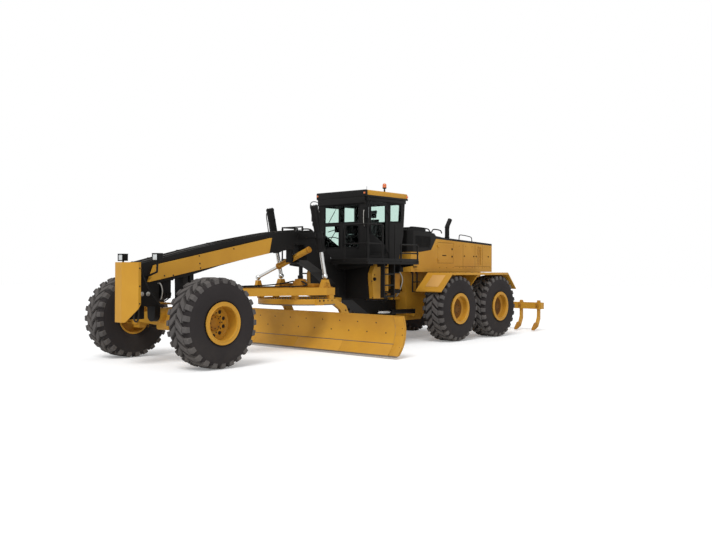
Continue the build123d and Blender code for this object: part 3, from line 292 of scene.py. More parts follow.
finishes = {
    "ochrePaint": ((197, 145, 47), {
        "second": (184, 132, 41), "rough": 0.42, "coat": 0.04, "specular": 0.22, "edge": 0.5, "edgeTone": (120,
            84, 38),
        "dust": 0.1, "dustTone": (176, 138, 78), "bump": 0.05, "grainScale": 90,
    }),
    # a paler copy of the ochre paint: painted sheen, the bright surroundings' reflection on the fender slopes
    "ochrePaintedSheen": ((212, 162, 92), {
        "second": (198, 148, 78), "rough": 0.5, "specular": 0.2, "edge": 0.4, "dust": 0.2, "bump": 0.06,
        "dustTone": (206, 180, 140),
    }),
    # a darker copy of the ochre paint: painted shade for ochre parts that sit under, behind or between others
    "ochrePaintedShade": ((172, 118, 34), {
        "second": (156, 104, 28), "rough": 0.5, "specular": 0.18, "edge": 0.6, "dust": 0.2, "bump": 0.08,
        "dustTone": (140, 112, 72),
    }),
    "blackPaint": ((23, 22, 21), {
        "second": (18, 17, 17), "rough": 0.46, "specular": 0.14, "edge": 0.4, "edgeTone": (70, 67, 64),
        "dust": 0.09, "dustTone": (72, 68, 62), "bump": 0.06, "grainScale": 80,
    }),
    "blackPlastic": ((20, 20, 20), {
        "second": (27, 27, 27), "rough": 0.55, "specular": 0.08, "edge": 0.3, "edgeTone": (80, 80,
            80), "dust": 0.15,
        "dustTone": (92, 88, 82), "bump": 0.25, "grainScale": 240, "bumpDepth": 0.001,
    }),
    "sideRubber": ((50, 46, 46), {
        "second": (44, 41, 41), "rough": 0.72, "edge": 0.2, "edgeTone": (96, 92,
            88), "dust": 0.3, "dustTop": 0.9,
        "dustTone": (98, 91, 83), "bump": 0.2, "grainScale": 60, "specular": 0.1,
    }),
    "lugRubber": ((92, 88, 86), {
        "second": (78, 75, 74), "rough": 0.78, "edge": 0.7, "edgeTone": (128, 124,
            120), "dust": 0.4, "dustTop": 0.8,
        "dustTone": (120, 110, 98), "bump": 0.35, "grainScale": 45, "bumpDepth": 0.003, "specular": 0.12,
    }),
    "steelEdge": ((118, 112, 106), {
        "second": (92, 84, 76), "rough": 0.42, "metallic": 0.75, "edge": 0.6, "edgeTone": (170, 166,
            160), "dust": 0.35,
        "dustTop": 0.6, "bump": 0.35, "grainScale": 35,
    }),
    "rodChrome": ((206, 206, 204), {
        "second": (188, 188, 186), "rough": 0.14, "roughMax": 0.24, "metallic": 1.0, "edge": 0.0, "dust": 0.06,
        "bump": 0.02, "grainScale": 300, "round": False,
    }),
    # a dark ochre: painted shade for the rear rims' recessed discs and hubs, which sit deep in the wheel
    "rimPaintedShade": ((120, 78, 26), {
        "second": (100, 64, 22), "rough": 0.6, "specular": 0.1, "edge": 0.3, "dust": 0.3, "bump": 0.2,
    }),
    "boltSteel": ((44, 39, 34), {
        "second": (38, 35, 32), "rough": 0.5, "metallic": 0.3, "specular": 0.2, "edge": 0.5, "edgeTone": (100,
            92, 84), "dust": 0.2,
        "bump": 0.2,
    }),
    "zincSteel": ((172, 170, 164), {
        "second": (150, 147, 140), "rough": 0.36, "metallic": 0.8, "edge": 0.3, "dust": 0.12, "bump": 0.1,
    }),
    "hoseRubber": ((26, 25, 25), {
        "second": (34, 33,
            32), "rough": 0.62, "specular": 0.12, "edge": 0.1, "dust": 0.2, "bump": 0.35, "grainScale": 160,
        "bumpDepth": 0.001, "round": False,
    }),
    "rawCast": ((96, 86, 72), {
        "second": (74, 66,
            56), "rough": 0.6, "metallic": 0.35, "edge": 0.5, "dust": 0.3, "bump": 0.5, "grainScale": 90,
    }),
    "engineGrey": ((86, 84, 78), {
        "second": (66, 64,
            60), "rough": 0.6, "metallic": 0.3, "edge": 0.6, "dust": 0.35, "dustTop": 3.0, "bump": 0.4,
    }),
    "seatCloth": ((46, 46, 48), {
        "second": (58, 57,
            58), "rough": 0.86, "edge": 0.0, "dust": 0.1, "dustTop": 4, "bump": 0.6, "grainScale": 420,
        "bumpDepth": 0.0015, "round": False,
    }),
    "deckTread": ((34, 32, 31), {
        "second": (44, 42, 39), "rough": 0.6, "specular": 0.15, "edge": 0.7, "edgeTone": (120, 114,
            106), "dust": 0.4, "dustTop": 3.2,
        "bump": 0.6, "grainScale": 120, "bumpDepth": 0.004,
    }),
}
made = {name: finish(name, tone, look) for name, (tone, look) in finishes.items()}


def glassFinish(name, tone):
    material, tree, shader = newMaterial(name)
    place = addNode(tree, "TexCoord").outputs["Object"]
    smear = addNode(tree, "TexNoise", {"Scale": 3.0, "Detail": 6.0, "Vector": place}).outputs["Fac"]
    rough = addNode(tree, "MapRange", {
        "From Min": 0.4, "From Max": 0.75, "To Min": 0.02, "To Max": 0.12, "Value": smear,
    })
    ripple = addNode(tree, "Bump", {"Strength": 0.02, "Height": smear})
    fill(tree, shader, {
        "Roughness": rough.outputs[0], "Normal": ripple.outputs[0], "Base Color": shade(tone),
        "Transmission Weight": 1.0, "IOR": 1.1,
    })
    return material


def lensFinish(name, tone, glow):
    material, tree, shader = newMaterial(name)
    place = addNode(tree, "TexCoord").outputs["Object"]
    ribs = addNode(tree, "TexVoronoi", {"Scale": 70, "Vector": place}).outputs["Distance"]
    darker = tuple(int(c * 0.72) for c in tone)
    mix = addNode(tree, "Mix", {"A": shade(tone), "B": shade(darker), "Factor": ribs}, data_type="RGBA")
    bump = addNode(tree, "Bump", {"Strength": 0.3, "Distance": 0.002, "Height": ribs})
    fill(tree, shader, {
        "Base Color": mix.outputs["Result"], "Normal": bump.outputs[0], "Roughness": 0.16, "Coat Weight": 0.7,
        "Emission Color": mix.outputs["Result"], "Emission Strength": glow,
    })
    return material


made["paneGlass"] = glassFinish("paneGlass", (224, 240, 234))
made["mirrorGlass"] = finish("mirrorGlass", (214, 220, 222), {
    "metallic": 1.0, "rough": 0.06, "roughMax": 0.12, "edge": 0.0, "dust": 0.05, "bump": 0.01, "round": False,
})
made["amberLens"] = lensFinish("amberLens", (236, 112, 24), 0.12)
made["redLens"] = lensFinish("redLens", (186, 30, 22), 0.05)
# the clear lens glows a little; on the arm reflectors, which are no lamps, that glow is painted light
made["clearLens"] = lensFinish("clearLens", (222, 226, 226), 0.05)

# shape helpers


def merge(target, part, matrix=None):
    if matrix is not None:
        bmesh.ops.transform(part, matrix=matrix, verts=part.verts)
    holder = bpy.data.meshes.new("holder")
    part.to_mesh(holder)
    part.free()
    target.from_mesh(holder)
    bpy.data.meshes.remove(holder)


def block(low, high, soft=0.004, segments=2):
    part = bmesh.new()
    bmesh.ops.create_cube(part, size=1)
    size = Vector(high) - Vector(low)
    size = Vector([abs(v) for v in size])
    bmesh.ops.scale(part, vec=size, verts=part.verts)
    if soft:
        bmesh.ops.bevel(
            part, geom=part.edges[:], offset=min(soft, min(size) * 0.45), segments=segments, profile=0.5,
            affect="EDGES", material=-1,
        )
    bmesh.ops.translate(part, vec=(Vector(low) + Vector(high)) / 2, verts=part.verts)
    return part


def rod(start, end, radius, segments=20, soft=0.0, endRadius=None):
    part = bmesh.new()
    line = Vector(end) - Vector(start)
    bmesh.ops.create_cone(
        part, cap_ends=True, cap_tris=False, segments=segments, radius1=radius,
        radius2=radius if endRadius is None else endRadius, depth=line.length,
    )
    if soft:
        rims = [e for e in part.edges if abs(e.verts[0].co.z - e.verts[1].co.z) < 1e-6]
        bmesh.ops.bevel(part, geom=rims, offset=soft, segments=2, profile=0.5, affect="EDGES", material=-1)
    turn = line.to_track_quat("Z", "Y").to_matrix().to_4x4()
    bmesh.ops.transform(part, matrix=Matrix.Translation((Vector(start) + Vector(end)) / 2) @ turn,
        verts=part.verts)
    return part


def boltHead(place, along, radius=0.016, height=0.012):
    # a washer and a hexagon head with a chamfered top
    part = bmesh.new()
    merge(part, rod((0, 0, 0), (0, 0, height * 0.3), radius * 1.45, 12))
    merge(part, rod((0, 0, height * 0.3), (0, 0, height), radius, 6, 0.0))
    merge(part, rod((0, 0, height), (0, 0, height * 1.15), radius * 0.86, 6, 0.0, radius * 0.7))
    turn = Vector(along).to_track_quat("Z", "Y").to_matrix().to_4x4()
    bmesh.ops.transform(part, matrix=Matrix.Translation(place) @ turn, verts=part.verts)
    return part


def plate(outline, axis, low, high, soft=0.003):
    # an outline in the plane across axis, grown from low to high
    part = bmesh.new()
    corners = []
    for a, b in outline:
        spot = {"x": (low, a, b), "y": (a, low, b), "z": (a, b, low)}[axis]
        corners.append(part.verts.new(spot))
    face = part.faces.new(corners)
    grown = bmesh.ops.extrude_face_region(part, geom=[face])
    shift = {"x": (high - low, 0, 0), "y": (0, high - low, 0), "z": (0, 0, high - low)}[axis]
    bmesh.ops.translate(part, vec=shift, verts=[v for v in grown["geom"] if isinstance(v, bmesh.types.BMVert)])
    bmesh.ops.recalc_face_normals(part, faces=part.faces[:])
    if soft:
        bmesh.ops.bevel(
            part, geom=part.edges[:], offset=soft, segments=2, profile=0.5, affect="EDGES", material=-1,
            clamp_overlap=True,
        )
    return part


def turned(profile, centre, axis, steps=48):
    # profile points are (distance along axis, radius); a closed outline spun round it
    part = bmesh.new()
    axis = Vector(axis).normalized()
    side = axis.orthogonal().normalized()
    ring = [part.verts.new(Vector(centre) + axis * a + side * r) for a, r in profile]
    edges = [part.edges.new((ring[i], ring[(i + 1) % len(ring)])) for i in range(len(ring))]
    bmesh.ops.spin(
        part, geom=ring + edges, cent=centre, axis=axis, dvec=(0, 0, 0), angle=2 * math.pi, steps=steps,
        use_merge=True, use_duplicate=False,
    )
    bmesh.ops.remove_doubles(part, verts=part.verts[:], dist=0.0002)
    bmesh.ops.recalc_face_normals(part, faces=part.faces[:])
    return part


def pipe(points, radius, sides=3, order=3):
    # a smooth line through the air with a round section
    curve = bpy.data.curves.new("run", "CURVE")
    curve.dimensions = "3D"
    curve.bevel_depth = radius
    curve.bevel_resolution = sides
    curve.use_fill_caps = True
    curve.resolution_u = 6
    spline = curve.splines.new("NURBS" if order > 2 else "POLY")
    spline.points.add(len(points) - 1)
    for spot, point in zip(spline.points, points):
        spot.co = (*point, 1)
    if order > 2:
        spline.order_u = order
        spline.use_endpoint_u = True
    holder = bpy.data.objects.new("run", curve)
    scene.collection.objects.link(holder)
    bpy.context.view_layer.update()
    mesh = bpy.data.meshes.new_from_object(holder.evaluated_get(bpy.context.evaluated_depsgraph_get()))
    part = bmesh.new()
    part.from_mesh(mesh)
    bpy.data.meshes.remove(mesh)
    bpy.data.objects.remove(holder)
    bpy.data.curves.remove(curve)
    return part


# the material slot that each finish belongs to; lamps, mirrors and bare zinc have none
slotOf = {
    "ochrePaint": "ochre_paint", "ochrePaintedShade": "ochre_paint", "ochrePaintedSheen": "ochre_paint",
    "rimPaintedShade": "ochre_paint",
    "blackPaint": "black_paint", "blackPlastic": "black_paint", "hoseRubber": "black_paint",
    "deckTread": "black_paint", "engineGrey": "black_paint", "boltSteel": "dark_steel",
    "steelEdge": "dark_steel",
    "rawCast": "dark_steel", "sideRubber": "tyre_rubber",
}


def addPiece(name, bm, material, body="front_frame", slot=None, angle=38):
    mesh = bpy.data.meshes.new(name)
    bm.to_mesh(mesh)
    bm.free()
    for face in mesh.polygons:
        face.use_smooth = True
    mesh.set_sharp_from_angle(angle=math.radians(angle))
    mesh.materials.append(made[material])
    piece = addToScene(name, mesh)
    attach(piece, body)
    slot = slot or slotOf.get(material)
    return piece


sides = ((1, "left"), (-1, "right"))


def span(side, near, far):
    # a pair of places across the machine, lower one first
    return sorted((side * near, side * far))


def adder(build):
    # the same shape, merged into a mesh in the making
    return lambda bm, *size: merge(bm, build(*size))


addBlock = adder(block)
addRod = adder(rod)
addBolt = adder(boltHead)
addPlate = adder(plate)
addTurned = adder(turned)
addPipe = adder(pipe)


def bothSides(build):
    bm = bmesh.new()
    for side in (1, -1):
        build(bm, side)
    return bm


# finishes on the carried-over nodes
paintedNodes = {
    "ochrePaint": [
        "front_panels", "side_tanks", "rear_frame", "hood_shell", "engine_door_left", "engine_door_right",
        "tandem_left", "tandem_right", "front_axle", "lean_yoke_left", "lean_yoke_right", "knuckle_left",
        "knuckle_right", "lean_bar", "drawbar", "circle", "moldboard", "blade_carrier", "ripper",
        "shift_barrel",
        "cab_roof", "rim_front_left", "rim_front_right", "rim_middle_left", "rim_middle_right", "rim_rear_left",
        "rim_rear_right",
    ],
    "blackPaint": [
        "front_frame", "cab_shell", "cab_door_left", "cab_door_right", "platform", "hood_deck", "stacks",
        "hinge_barrel_left", "hinge_barrel_right", "ripper_barrels", "lift_barrel_left", "lift_barrel_right",
        "shift_yoke", "drawbar_swivel",
    ],
    "engineGrey": ["engine_block"],
    "boltSteel": ["tie_rod", "tie_rod_ball"],
    "rodChrome": ["lift_rod_left", "lift_rod_right", "shift_rod", "hinge_rod_left", "hinge_rod_right",
        "ripper_rods"],
    "paneGlass": ["cab_glass", "door_glass_left", "door_glass_right"],
}
for finishName, group in paintedNodes.items():
    for nodeName in group:
        mesh = nodes[nodeName].data
        mesh.materials.clear()
        mesh.materials.append(made[finishName])

# tyres
tyre = {
    "radius": 1.003,
    "crown": 0.945,
    "tread": 0.352,          # half width out to the shoulder blocks
    "pairs": 25,             # lugs on each half
    "lugTop": 0.079,
    "barHalf": 0.083,
    "barEnd": 0.215,
    "shoulderHalf": 0.068,
    "sweep": 0.95,           # slant of a lug
}
wheelSpots = {
    "front_left": (6.7, 1), "front_right": (6.7, -1), "middle_left": (-2.421, 1), "middle_right": (-2.421, -1),
    "rear_left": (-4.735, 1), "rear_right": (-4.735, -1),
}
carcass = [
    (-0.312, 0.436), (-0.335, 0.470), (-0.352, 0.500), (-0.362, 0.520), (-0.366, 0.560), (-0.371, 0.640),
    (-0.371, 0.720), (-0.367, 0.790), (-0.360, 0.840), (-0.348, 0.880), (-0.330, 0.912), (-0.290, 0.932),
    (-0.200, 0.942), (0.0, 0.947), (0.200, 0.942), (0.290, 0.932), (0.330, 0.912), (0.348, 0.880), (0.360,
        0.840),
    (0.367, 0.790), (0.371, 0.720), (0.371, 0.640), (0.366, 0.560), (0.362, 0.520), (0.352, 0.500), (0.335,
        0.470),
    (0.312, 0.436), (0.28, 0.47), (0.28, 0.86), (-0.28, 0.86), (-0.28, 0.47),
]


def wrapLug(part, angle, half, phase):
    # s runs round the tyre, y across, z up from the carcass
    for v in part.verts:
        across = abs(v.co.y)
        drop = 0.0 if across < 0.24 else (across - 0.24) ** 2 * 2.6
        radius = tyre["crown"] - 0.02 + v.co.z * (1 - 0.15 * across) - drop
        turn = angle + phase + v.co.x / tyre["radius"]
        v.co = Vector((radius * math.sin(turn), v.co.y * half, radius * math.cos(turn)))


def lugPart(low, high, skew, taper):
    part = bmesh.new()
    bmesh.ops.create_cube(part, size=1)
    size = Vector(high) - Vector(low)
    bmesh.ops.scale(part, vec=size, verts=part.verts)
    bmesh.ops.translate(part, vec=(Vector(low) + Vector(high)) / 2, verts=part.verts)
    for v in part.verts:
        if v.co.z > (low[2] + high[2]) / 2:
            middle = (low[0] + high[0]) / 2
            v.co.x = middle + (v.co.x - middle) * taper
            middle = (low[1] + high[1]) / 2
            v.co.y = middle + (v.co.y - middle) * (0.5 + taper / 2)
    top = [e for e in part.edges if min(e.verts[0].co.z, e.verts[1].co.z) > (low[2] + high[2]) / 2]
    upright = [e for e in part.edges if abs(e.verts[0].co.z - e.verts[1].co.z) > 0.02]
    bmesh.ops.bevel(
        part, geom=top + upright, offset=0.009, segments=1, profile=0.5, affect="EDGES", material=-1,
    )
    for cut in (0.3, 0.65):
        level = low[1] + size.y * cut
        bmesh.ops.bisect_plane(
            part, geom=part.verts[:] + part.edges[:] + part.faces[:], plane_co=(0, level, 0), plane_no=(0, 1,
                0),
        )
    for v in part.verts:
        v.co.x += skew * (v.co.y - low[1])
    return part


def buildTyre(name, x, side):
    bm = bmesh.new()
    merge(bm, turned(carcass, (0, 0, 0), (0, 1, 0), 72))
    shellFaces = len(bm.faces)
    pitch = 2 * math.pi / tyre["pairs"]
    slope = tyre["sweep"]
    for half in (1, -1):
        phase = 0 if half > 0 else pitch / 2
        for step in range(tyre["pairs"]):
            bar = lugPart((-tyre["barHalf"], 0.008, 0), (tyre["barHalf"], tyre["barEnd"], tyre["lugTop"]),
                slope, 0.9)
            wrapLug(bar, step * pitch, half, phase)
            merge(bm, bar)
            outer = slope * tyre["barEnd"] - 0.05
            shoulder = lugPart(
                (outer - tyre["shoulderHalf"], tyre["barEnd"] + 0.024, -0.02),
                (outer + tyre["shoulderHalf"], tyre["tread"], tyre["lugTop"]), slope * 0.15, 0.88,
            )
            wrapLug(shoulder, step * pitch, half, phase)
            merge(bm, shoulder)
    bm.faces.index_update()
    for face in bm.faces:
        face.material_index = 1 if face.index >= shellFaces else 0
    # raised rings on the sidewall
    for face in (-1, 1):
        for ringRadius, ringWide in ((0.515, 0.010), (0.868, 0.012)):
            reach = 0.357 if ringRadius < 0.6 else 0.349
            ring = turned([
                (face * (reach - 0.012), ringRadius - ringWide), (face * (reach + 0.008),
                    ringRadius - ringWide * 0.4),
                (face * (reach + 0.008), ringRadius + ringWide * 0.4), (face * (reach - 0.012),
                    ringRadius + ringWide),
            ], (0, 0, 0), (0, 1, 0), 64)
            merge(bm, ring)
    bmesh.ops.recalc_face_normals(bm, faces=bm.faces[:])
    if side < 0:
        bmesh.ops.rotate(bm, verts=bm.verts[:], cent=(0, 0, 0), matrix=Matrix.Rotation(math.pi, 3, "Z"))
    bmesh.ops.translate(bm, vec=(x, side * 1.701, 1.005), verts=bm.verts[:])
    piece = addPiece(f"treadTyre_{name}", bm, "sideRubber", f"wheel_{name}", angle=32)
    piece.data.materials.append(made["lugRubber"])
    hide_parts(f"tyre_{name}")


for wheelName, (wheelX, wheelSide) in wheelSpots.items():
    buildTyre(wheelName, wheelX, wheelSide)

# rims


def onRing(angle, radius):
    return Vector((math.cos(angle) * radius, 0, math.sin(angle) * radius))


rim = {"holes": 10, "holeRing": 0.285, "rearHoleRing": 0.235, "frontDisc": 0.02, "rearDisc": 0.17}
for wheelName, (wheelX, wheelSide) in wheelSpots.items():
    isFront = wheelName.startswith("front")
    disc = rim["frontDisc"] if isFront else rim["rearDisc"]
    centre = Vector((wheelX, wheelSide * 1.701, 1.005))
    outward = Vector((0, wheelSide, 0))
    bm = bmesh.new()
    # rounded flange lip, lock ring and the step inside the barrel
    merge(bm, turned([
        (0.372, 0.470), (0.384, 0.474), (0.391, 0.468), (0.392, 0.452), (0.386, 0.440), (0.372, 0.436),
    ], centre, outward, 64))
    merge(bm, turned([
        (0.340, 0.405), (0.388, 0.398), (0.396, 0.392), (0.396, 0.380), (0.386, 0.374), (0.330, 0.378),
    ], centre, outward, 64))
    if isFront:
        merge(bm, turned([
            (disc, 0.392), (disc + 0.05, 0.392), (disc + 0.05, 0.372), (disc + 0.012, 0.340), (disc + 0.012,
                0.20),
            (disc, 0.20),
        ], centre, outward, 48))
    else:
        merge(bm, turned([
            (disc, 0.392), (disc + 0.06, 0.392), (disc + 0.05, 0.365), (disc + 0.02, 0.330), (disc + 0.02,
                0.300),
            (disc, 0.290),
        ], centre, outward, 48))
    addPiece(f"rimRings_{wheelName}", bm, "ochrePaint", f"wheel_{wheelName}")
    dark = bmesh.new()
    hub = bmesh.new()
    for step in range(rim["holes"]):
        angle = 2 * math.pi * (step + 0.5) / rim["holes"]
        radius = rim["holeRing"] if isFront else rim["rearHoleRing"]
        spot = centre + outward * (disc + (0.012 if isFront else 0.0)) + onRing(angle, radius)
        # the disc's holes are flat dark discs: painted shade where a hole would show the wheel's dark inside
        hole = 0.036 if isFront else 0.016
        merge(dark, turned([(0, 0.0005), (0.004, 0.0005), (0.006, hole), (0.0, hole + 0.008)], spot, outward,
            16))
        spot = centre + outward * disc + onRing(angle + math.pi / rim["holes"], 0.225)
        merge(dark, boltHead(spot, outward, 0.017, 0.022))
    merge(hub, turned([
        (disc - 0.002, 0.002), (disc - 0.002, 0.175), (disc + 0.05, 0.170), (disc + 0.062,
            0.155), (disc + 0.066, 0.10),
        (disc + 0.078, 0.085), (disc + 0.082, 0.002),
    ], centre, outward, 40))
    for step in range(8):
        spot = centre + outward * (disc + 0.064) + onRing(2 * math.pi * step / 8, 0.128)
        merge(dark, boltHead(spot, outward, 0.010, 0.012))
    valve = ((0.03, 0.30, 0.17), (0.12, 0.30, 0.17), (0.19, 0.315, 0.18))
    merge(dark, pipe([centre + outward * (disc + a) + Vector((x, 0, z)) for a, x, z in valve], 0.008))
    if not isFront:
        # the rear rims' inner disc is a plain cover in the dark rim ochre, painted shade from its depth in the
        # wheel
        cover = turned([
            (disc + 0.012, 0.0005), (disc + 0.012, 0.300), (disc + 0.024, 0.312), (disc + 0.034,
                0.300), (disc + 0.036, 0.14),
            (disc + 0.03, 0.0005),
        ], centre, outward, 48)
        addPiece(f"rimCover_{wheelName}", cover, "rimPaintedShade", f"wheel_{wheelName}")
    # hubs take the darker ochre in front and the dark rim ochre behind; both are painted shade
    addPiece(f"rimHub_{wheelName}", hub, "ochrePaintedShade" if isFront else "rimPaintedShade", f"wheel_{wheelName}")
    addPiece(f"rimBoltsAndHoleShade_{wheelName}", dark, "boltSteel", f"wheel_{wheelName}")

# small helpers for the trims


def surround(bm, axis, low, high, a, b, width):
    # four strips round an opening; a and b are its spans across the axis
    strips = (
        ((a[0] - width, a[1] + width), (b[0] - width, b[0])),
        ((a[0] - width, a[1] + width), (b[1], b[1] + width)),
        ((a[0] - width, a[0]), b),
        ((a[1], a[1] + width), b),
    )
    for first, second in strips:
        corners = {
            "x": ((low, first[0], second[0]), (high, first[1], second[1])),
            "y": ((first[0], low, second[0]), (first[1], high, second[1])),
            "z": ((first[0], second[0], low), (first[1], second[1], high)),
        }[axis]
        addBlock(bm, *corners, 0.003)


def boltRow(bm, start, end, count, along, radius=0.014, height=0.010):
    for step in range(count):
        spot = Vector(start).lerp(Vector(end), step / max(1, count - 1))
        addBolt(bm, spot, along, radius, height)


def boltRing(bm, centre, along, ringRadius, count, radius=0.014, height=0.012):
    along = Vector(along).normalized()
    first = along.orthogonal().normalized()
    second = along.cross(first)
    for step in range(count):
        angle = 2 * math.pi * step / count
        spot = Vector(centre) + (first * math.cos(angle) + second * math.sin(angle)) * ringRadius
        addBolt(bm, spot, along, radius, height)


# cab: roof, fascia, beacon, gaskets, wipers, mirrors, handles
cab = {
    "front": 0.70,
    "half": 0.94,
    "doorGlass": ((-0.207, 0.477), (2.623, 4.067)),
    "frontGlass": (((-0.69, 0.69), (3.55, 4.06)), ((-0.69, -0.06), (2.82, 3.47)), ((0.06, 0.69), (2.82, 3.47))),
    "rearSideGlass": ((-0.93, -0.40), (3.60, 4.13)),
    "rearGlass": ((-0.76, 0.76), (3.64, 4.17)),
    "lap": 0.018,            # how far a gasket covers the glass
}


def lapped(spans):
    (a0, a1), (b0, b1) = spans
    lap = cab["lap"]
    return (a0 + lap, a1 - lap), (b0 + lap, b1 - lap)


roof = bmesh.new()
addBlock(roof, (-1.191, -0.988, 4.27), (0.748, 0.988, 4.468), 0.035, 4)
addBlock(roof, (-1.06, -0.84, 4.462), (0.56, 0.84, 4.480), 0.008, 2)
for seamY in (-0.42, 0.0, 0.42):
    addBlock(roof, (-1.0, seamY - 0.03, 4.474), (0.50, seamY + 0.03, 4.492), 0.008, 2)
roofPiece = addPiece("cabRoofShell", roof, "ochrePaint")
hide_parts("cab_roof")

fascia = bmesh.new()
addBlock(fascia, (0.655, -0.991, 4.262), (0.752, 0.991, 4.471), 0.03, 4)
addBlock(fascia, (0.698, -0.935, 4.085), (0.745, 0.935, 4.272), 0.014, 3)
addBlock(fascia, (-1.135, -0.93, 4.19), (-1.105, 0.93, 4.272), 0.01, 2)
for side in (1, -1):
    addBlock(fascia, (-1.12, side * 0.935, 4.165), (0.70, side * 0.975, 4.272), 0.012, 2)
    addBlock(fascia, (-1.193, side * 0.978, 4.264), (0.70, side * 0.991, 4.325), 0.006, 2)
addPiece("cabFascia", fascia, "blackPaint")
markers = bothSides(lambda bm, side: (
    addBlock(bm, (0.745, side * 0.90, 4.35), (0.757, side * 0.965, 4.40), 0.006, 3),
    addBlock(bm, (-1.192, side * 0.985, 4.345), (-1.10, side * 1.000, 4.405), 0.006, 3),
))
addPiece("roofMarkerLamps", markers, "amberLens")

beacon = {"x": -0.91, "y": 0.30, "foot": 4.468, "lens": 4.690, "top": 4.826, "radius": 0.062}
stand = bmesh.new()
spot = (beacon["x"], beacon["y"], 0)
addTurned(stand, [
    (beacon["foot"], 0.0005), (beacon["foot"], 0.072), (beacon["foot"] + 0.02, 0.070), (beacon["foot"] + 0.045,
        0.03),
    (beacon["lens"] - 0.04, 0.022), (beacon["lens"] - 0.022, 0.060), (beacon["lens"],
        0.066), (beacon["lens"] + 0.004, 0.0005),
], spot, (0, 0, 1), 32)
addPipe(stand, [(-1.02, -0.52, 4.46), (-1.02, -0.52, 4.56), (-1.03, -0.52, 4.80)], 0.006)
addRod(stand, (-1.02, -0.52, 4.46), (-1.02, -0.52, 4.51), 0.022, 16, 0.004)
addPiece("beaconStand", stand, "blackPlastic")
dome = turned([
    (beacon["lens"] + 0.002, 0.0005), (beacon["lens"] + 0.002, beacon["radius"]), (beacon["top"] - 0.05,
        beacon["radius"]),
    (beacon["top"] - 0.02, beacon["radius"] * 0.82), (beacon["top"] - 0.004,
        beacon["radius"] * 0.42), (beacon["top"], 0.0005),
], spot, (0, 0, 1), 32)
addPiece("beaconDome", dome, "amberLens")

gaskets = bmesh.new()
for spans in cab["frontGlass"]:
    surround(gaskets, "x", cab["front"] - 0.012, cab["front"] + 0.006, *lapped(spans), 0.032)
for side in (1, -1):
    faces = span(side, cab["half"] - 0.012, cab["half"] + 0.006)
    surround(gaskets, "y", *faces, *lapped(cab["rearSideGlass"]), 0.032)
rearSeal = bmesh.new()
surround(rearSeal, "x", -0.008, 0.010, *lapped(cab["rearGlass"]), 0.032)
for v in rearSeal.verts:
    v.co.x += -1.030 - (v.co.z - 3.2) * 0.0748
merge(gaskets, rearSeal)
# upright ribs and lower trim on the cab's corners
for side in (1, -1):
    addBlock(gaskets, (0.60, side * 0.936, 2.44), (0.668, side * 0.952, 4.17), 0.006)
    addBlock(gaskets, (-0.385, side * 0.936, 2.44), (-0.335, side * 0.952, 4.17), 0.006)
addPiece("cabGaskets", gaskets, "blackPlastic")

for side, sideName in sides:
    trim = bmesh.new()
    faces = span(side, cab["half"] - 0.014, cab["half"] + 0.006)
    surround(trim, "y", *faces, *lapped(cab["doorGlass"]), 0.034)
    addBlock(trim, (0.478, side * 0.938, 3.20), (0.540, side * 0.958, 3.44), 0.008, 3)
    addPipe(trim, [
        (0.505, side * 0.95, 3.25), (0.505, side * 0.985, 3.25), (0.505, side * 0.992, 3.32), (0.505,
            side * 0.985, 3.39),
        (0.505, side * 0.95, 3.39),
    ], 0.009)
    addRod(trim, (0.51, side * 0.955, 3.46), (0.51, side * 0.965, 3.46), 0.014, 16, 0.002)
    # the lower corner of the pane is closed, and a grab bar runs inside
    addPlate(trim, 
        [(0.50, 2.60), (0.50, 3.27), (-0.23, 2.88), (-0.23, 2.60)], "y", *span(side, 0.921, 0.936), 0.004,
    )
    addPipe(trim, [
        (-0.16, side * 0.905, 3.10), (-0.16, side * 0.87, 3.13), (0.12, side * 0.865, 3.18), (0.43,
            side * 0.87, 3.13),
        (0.43, side * 0.905, 3.10),
    ], 0.013)
    boltRow(trim, (-0.25, side * 0.94, 2.60), (-0.25, side * 0.94, 4.08), 6, (0, side, 0), 0.009, 0.006)
    boltRow(trim, (0.52, side * 0.94, 2.60), (0.52, side * 0.94, 3.10), 3, (0, side, 0), 0.009, 0.006)
    addPiece(f"doorTrim_{sideName}", trim, "blackPlastic", f"cab_door_{sideName}")

wipers = bmesh.new()
for pivot, tip in (
    ((0.708, -0.10, 4.075), (0.722, -0.42, 3.66)), ((0.708, -0.62, 2.80), (0.722, -0.30, 3.20)),
    ((0.708, 0.62, 2.80), (0.722, 0.30, 3.20)),
):
    addRod(wipers, (pivot[0] - 0.02, pivot[1], pivot[2]), (pivot[0] + 0.03, pivot[1], pivot[2]), 0.018, 16,
        0.003)
    addRod(wipers, (pivot[0] + 0.02, pivot[1], pivot[2]), (tip[0] + 0.01, tip[1], tip[2]), 0.007, 10)
    run = Vector((0, tip[1] - pivot[1], tip[2] - pivot[2])).normalized()
    middle = Vector(tip) - run * 0.05
    addRod(wipers, middle - run * 0.22, middle + run * 0.22, 0.009, 8)
addPiece("windowWipers", wipers, "blackPlastic")

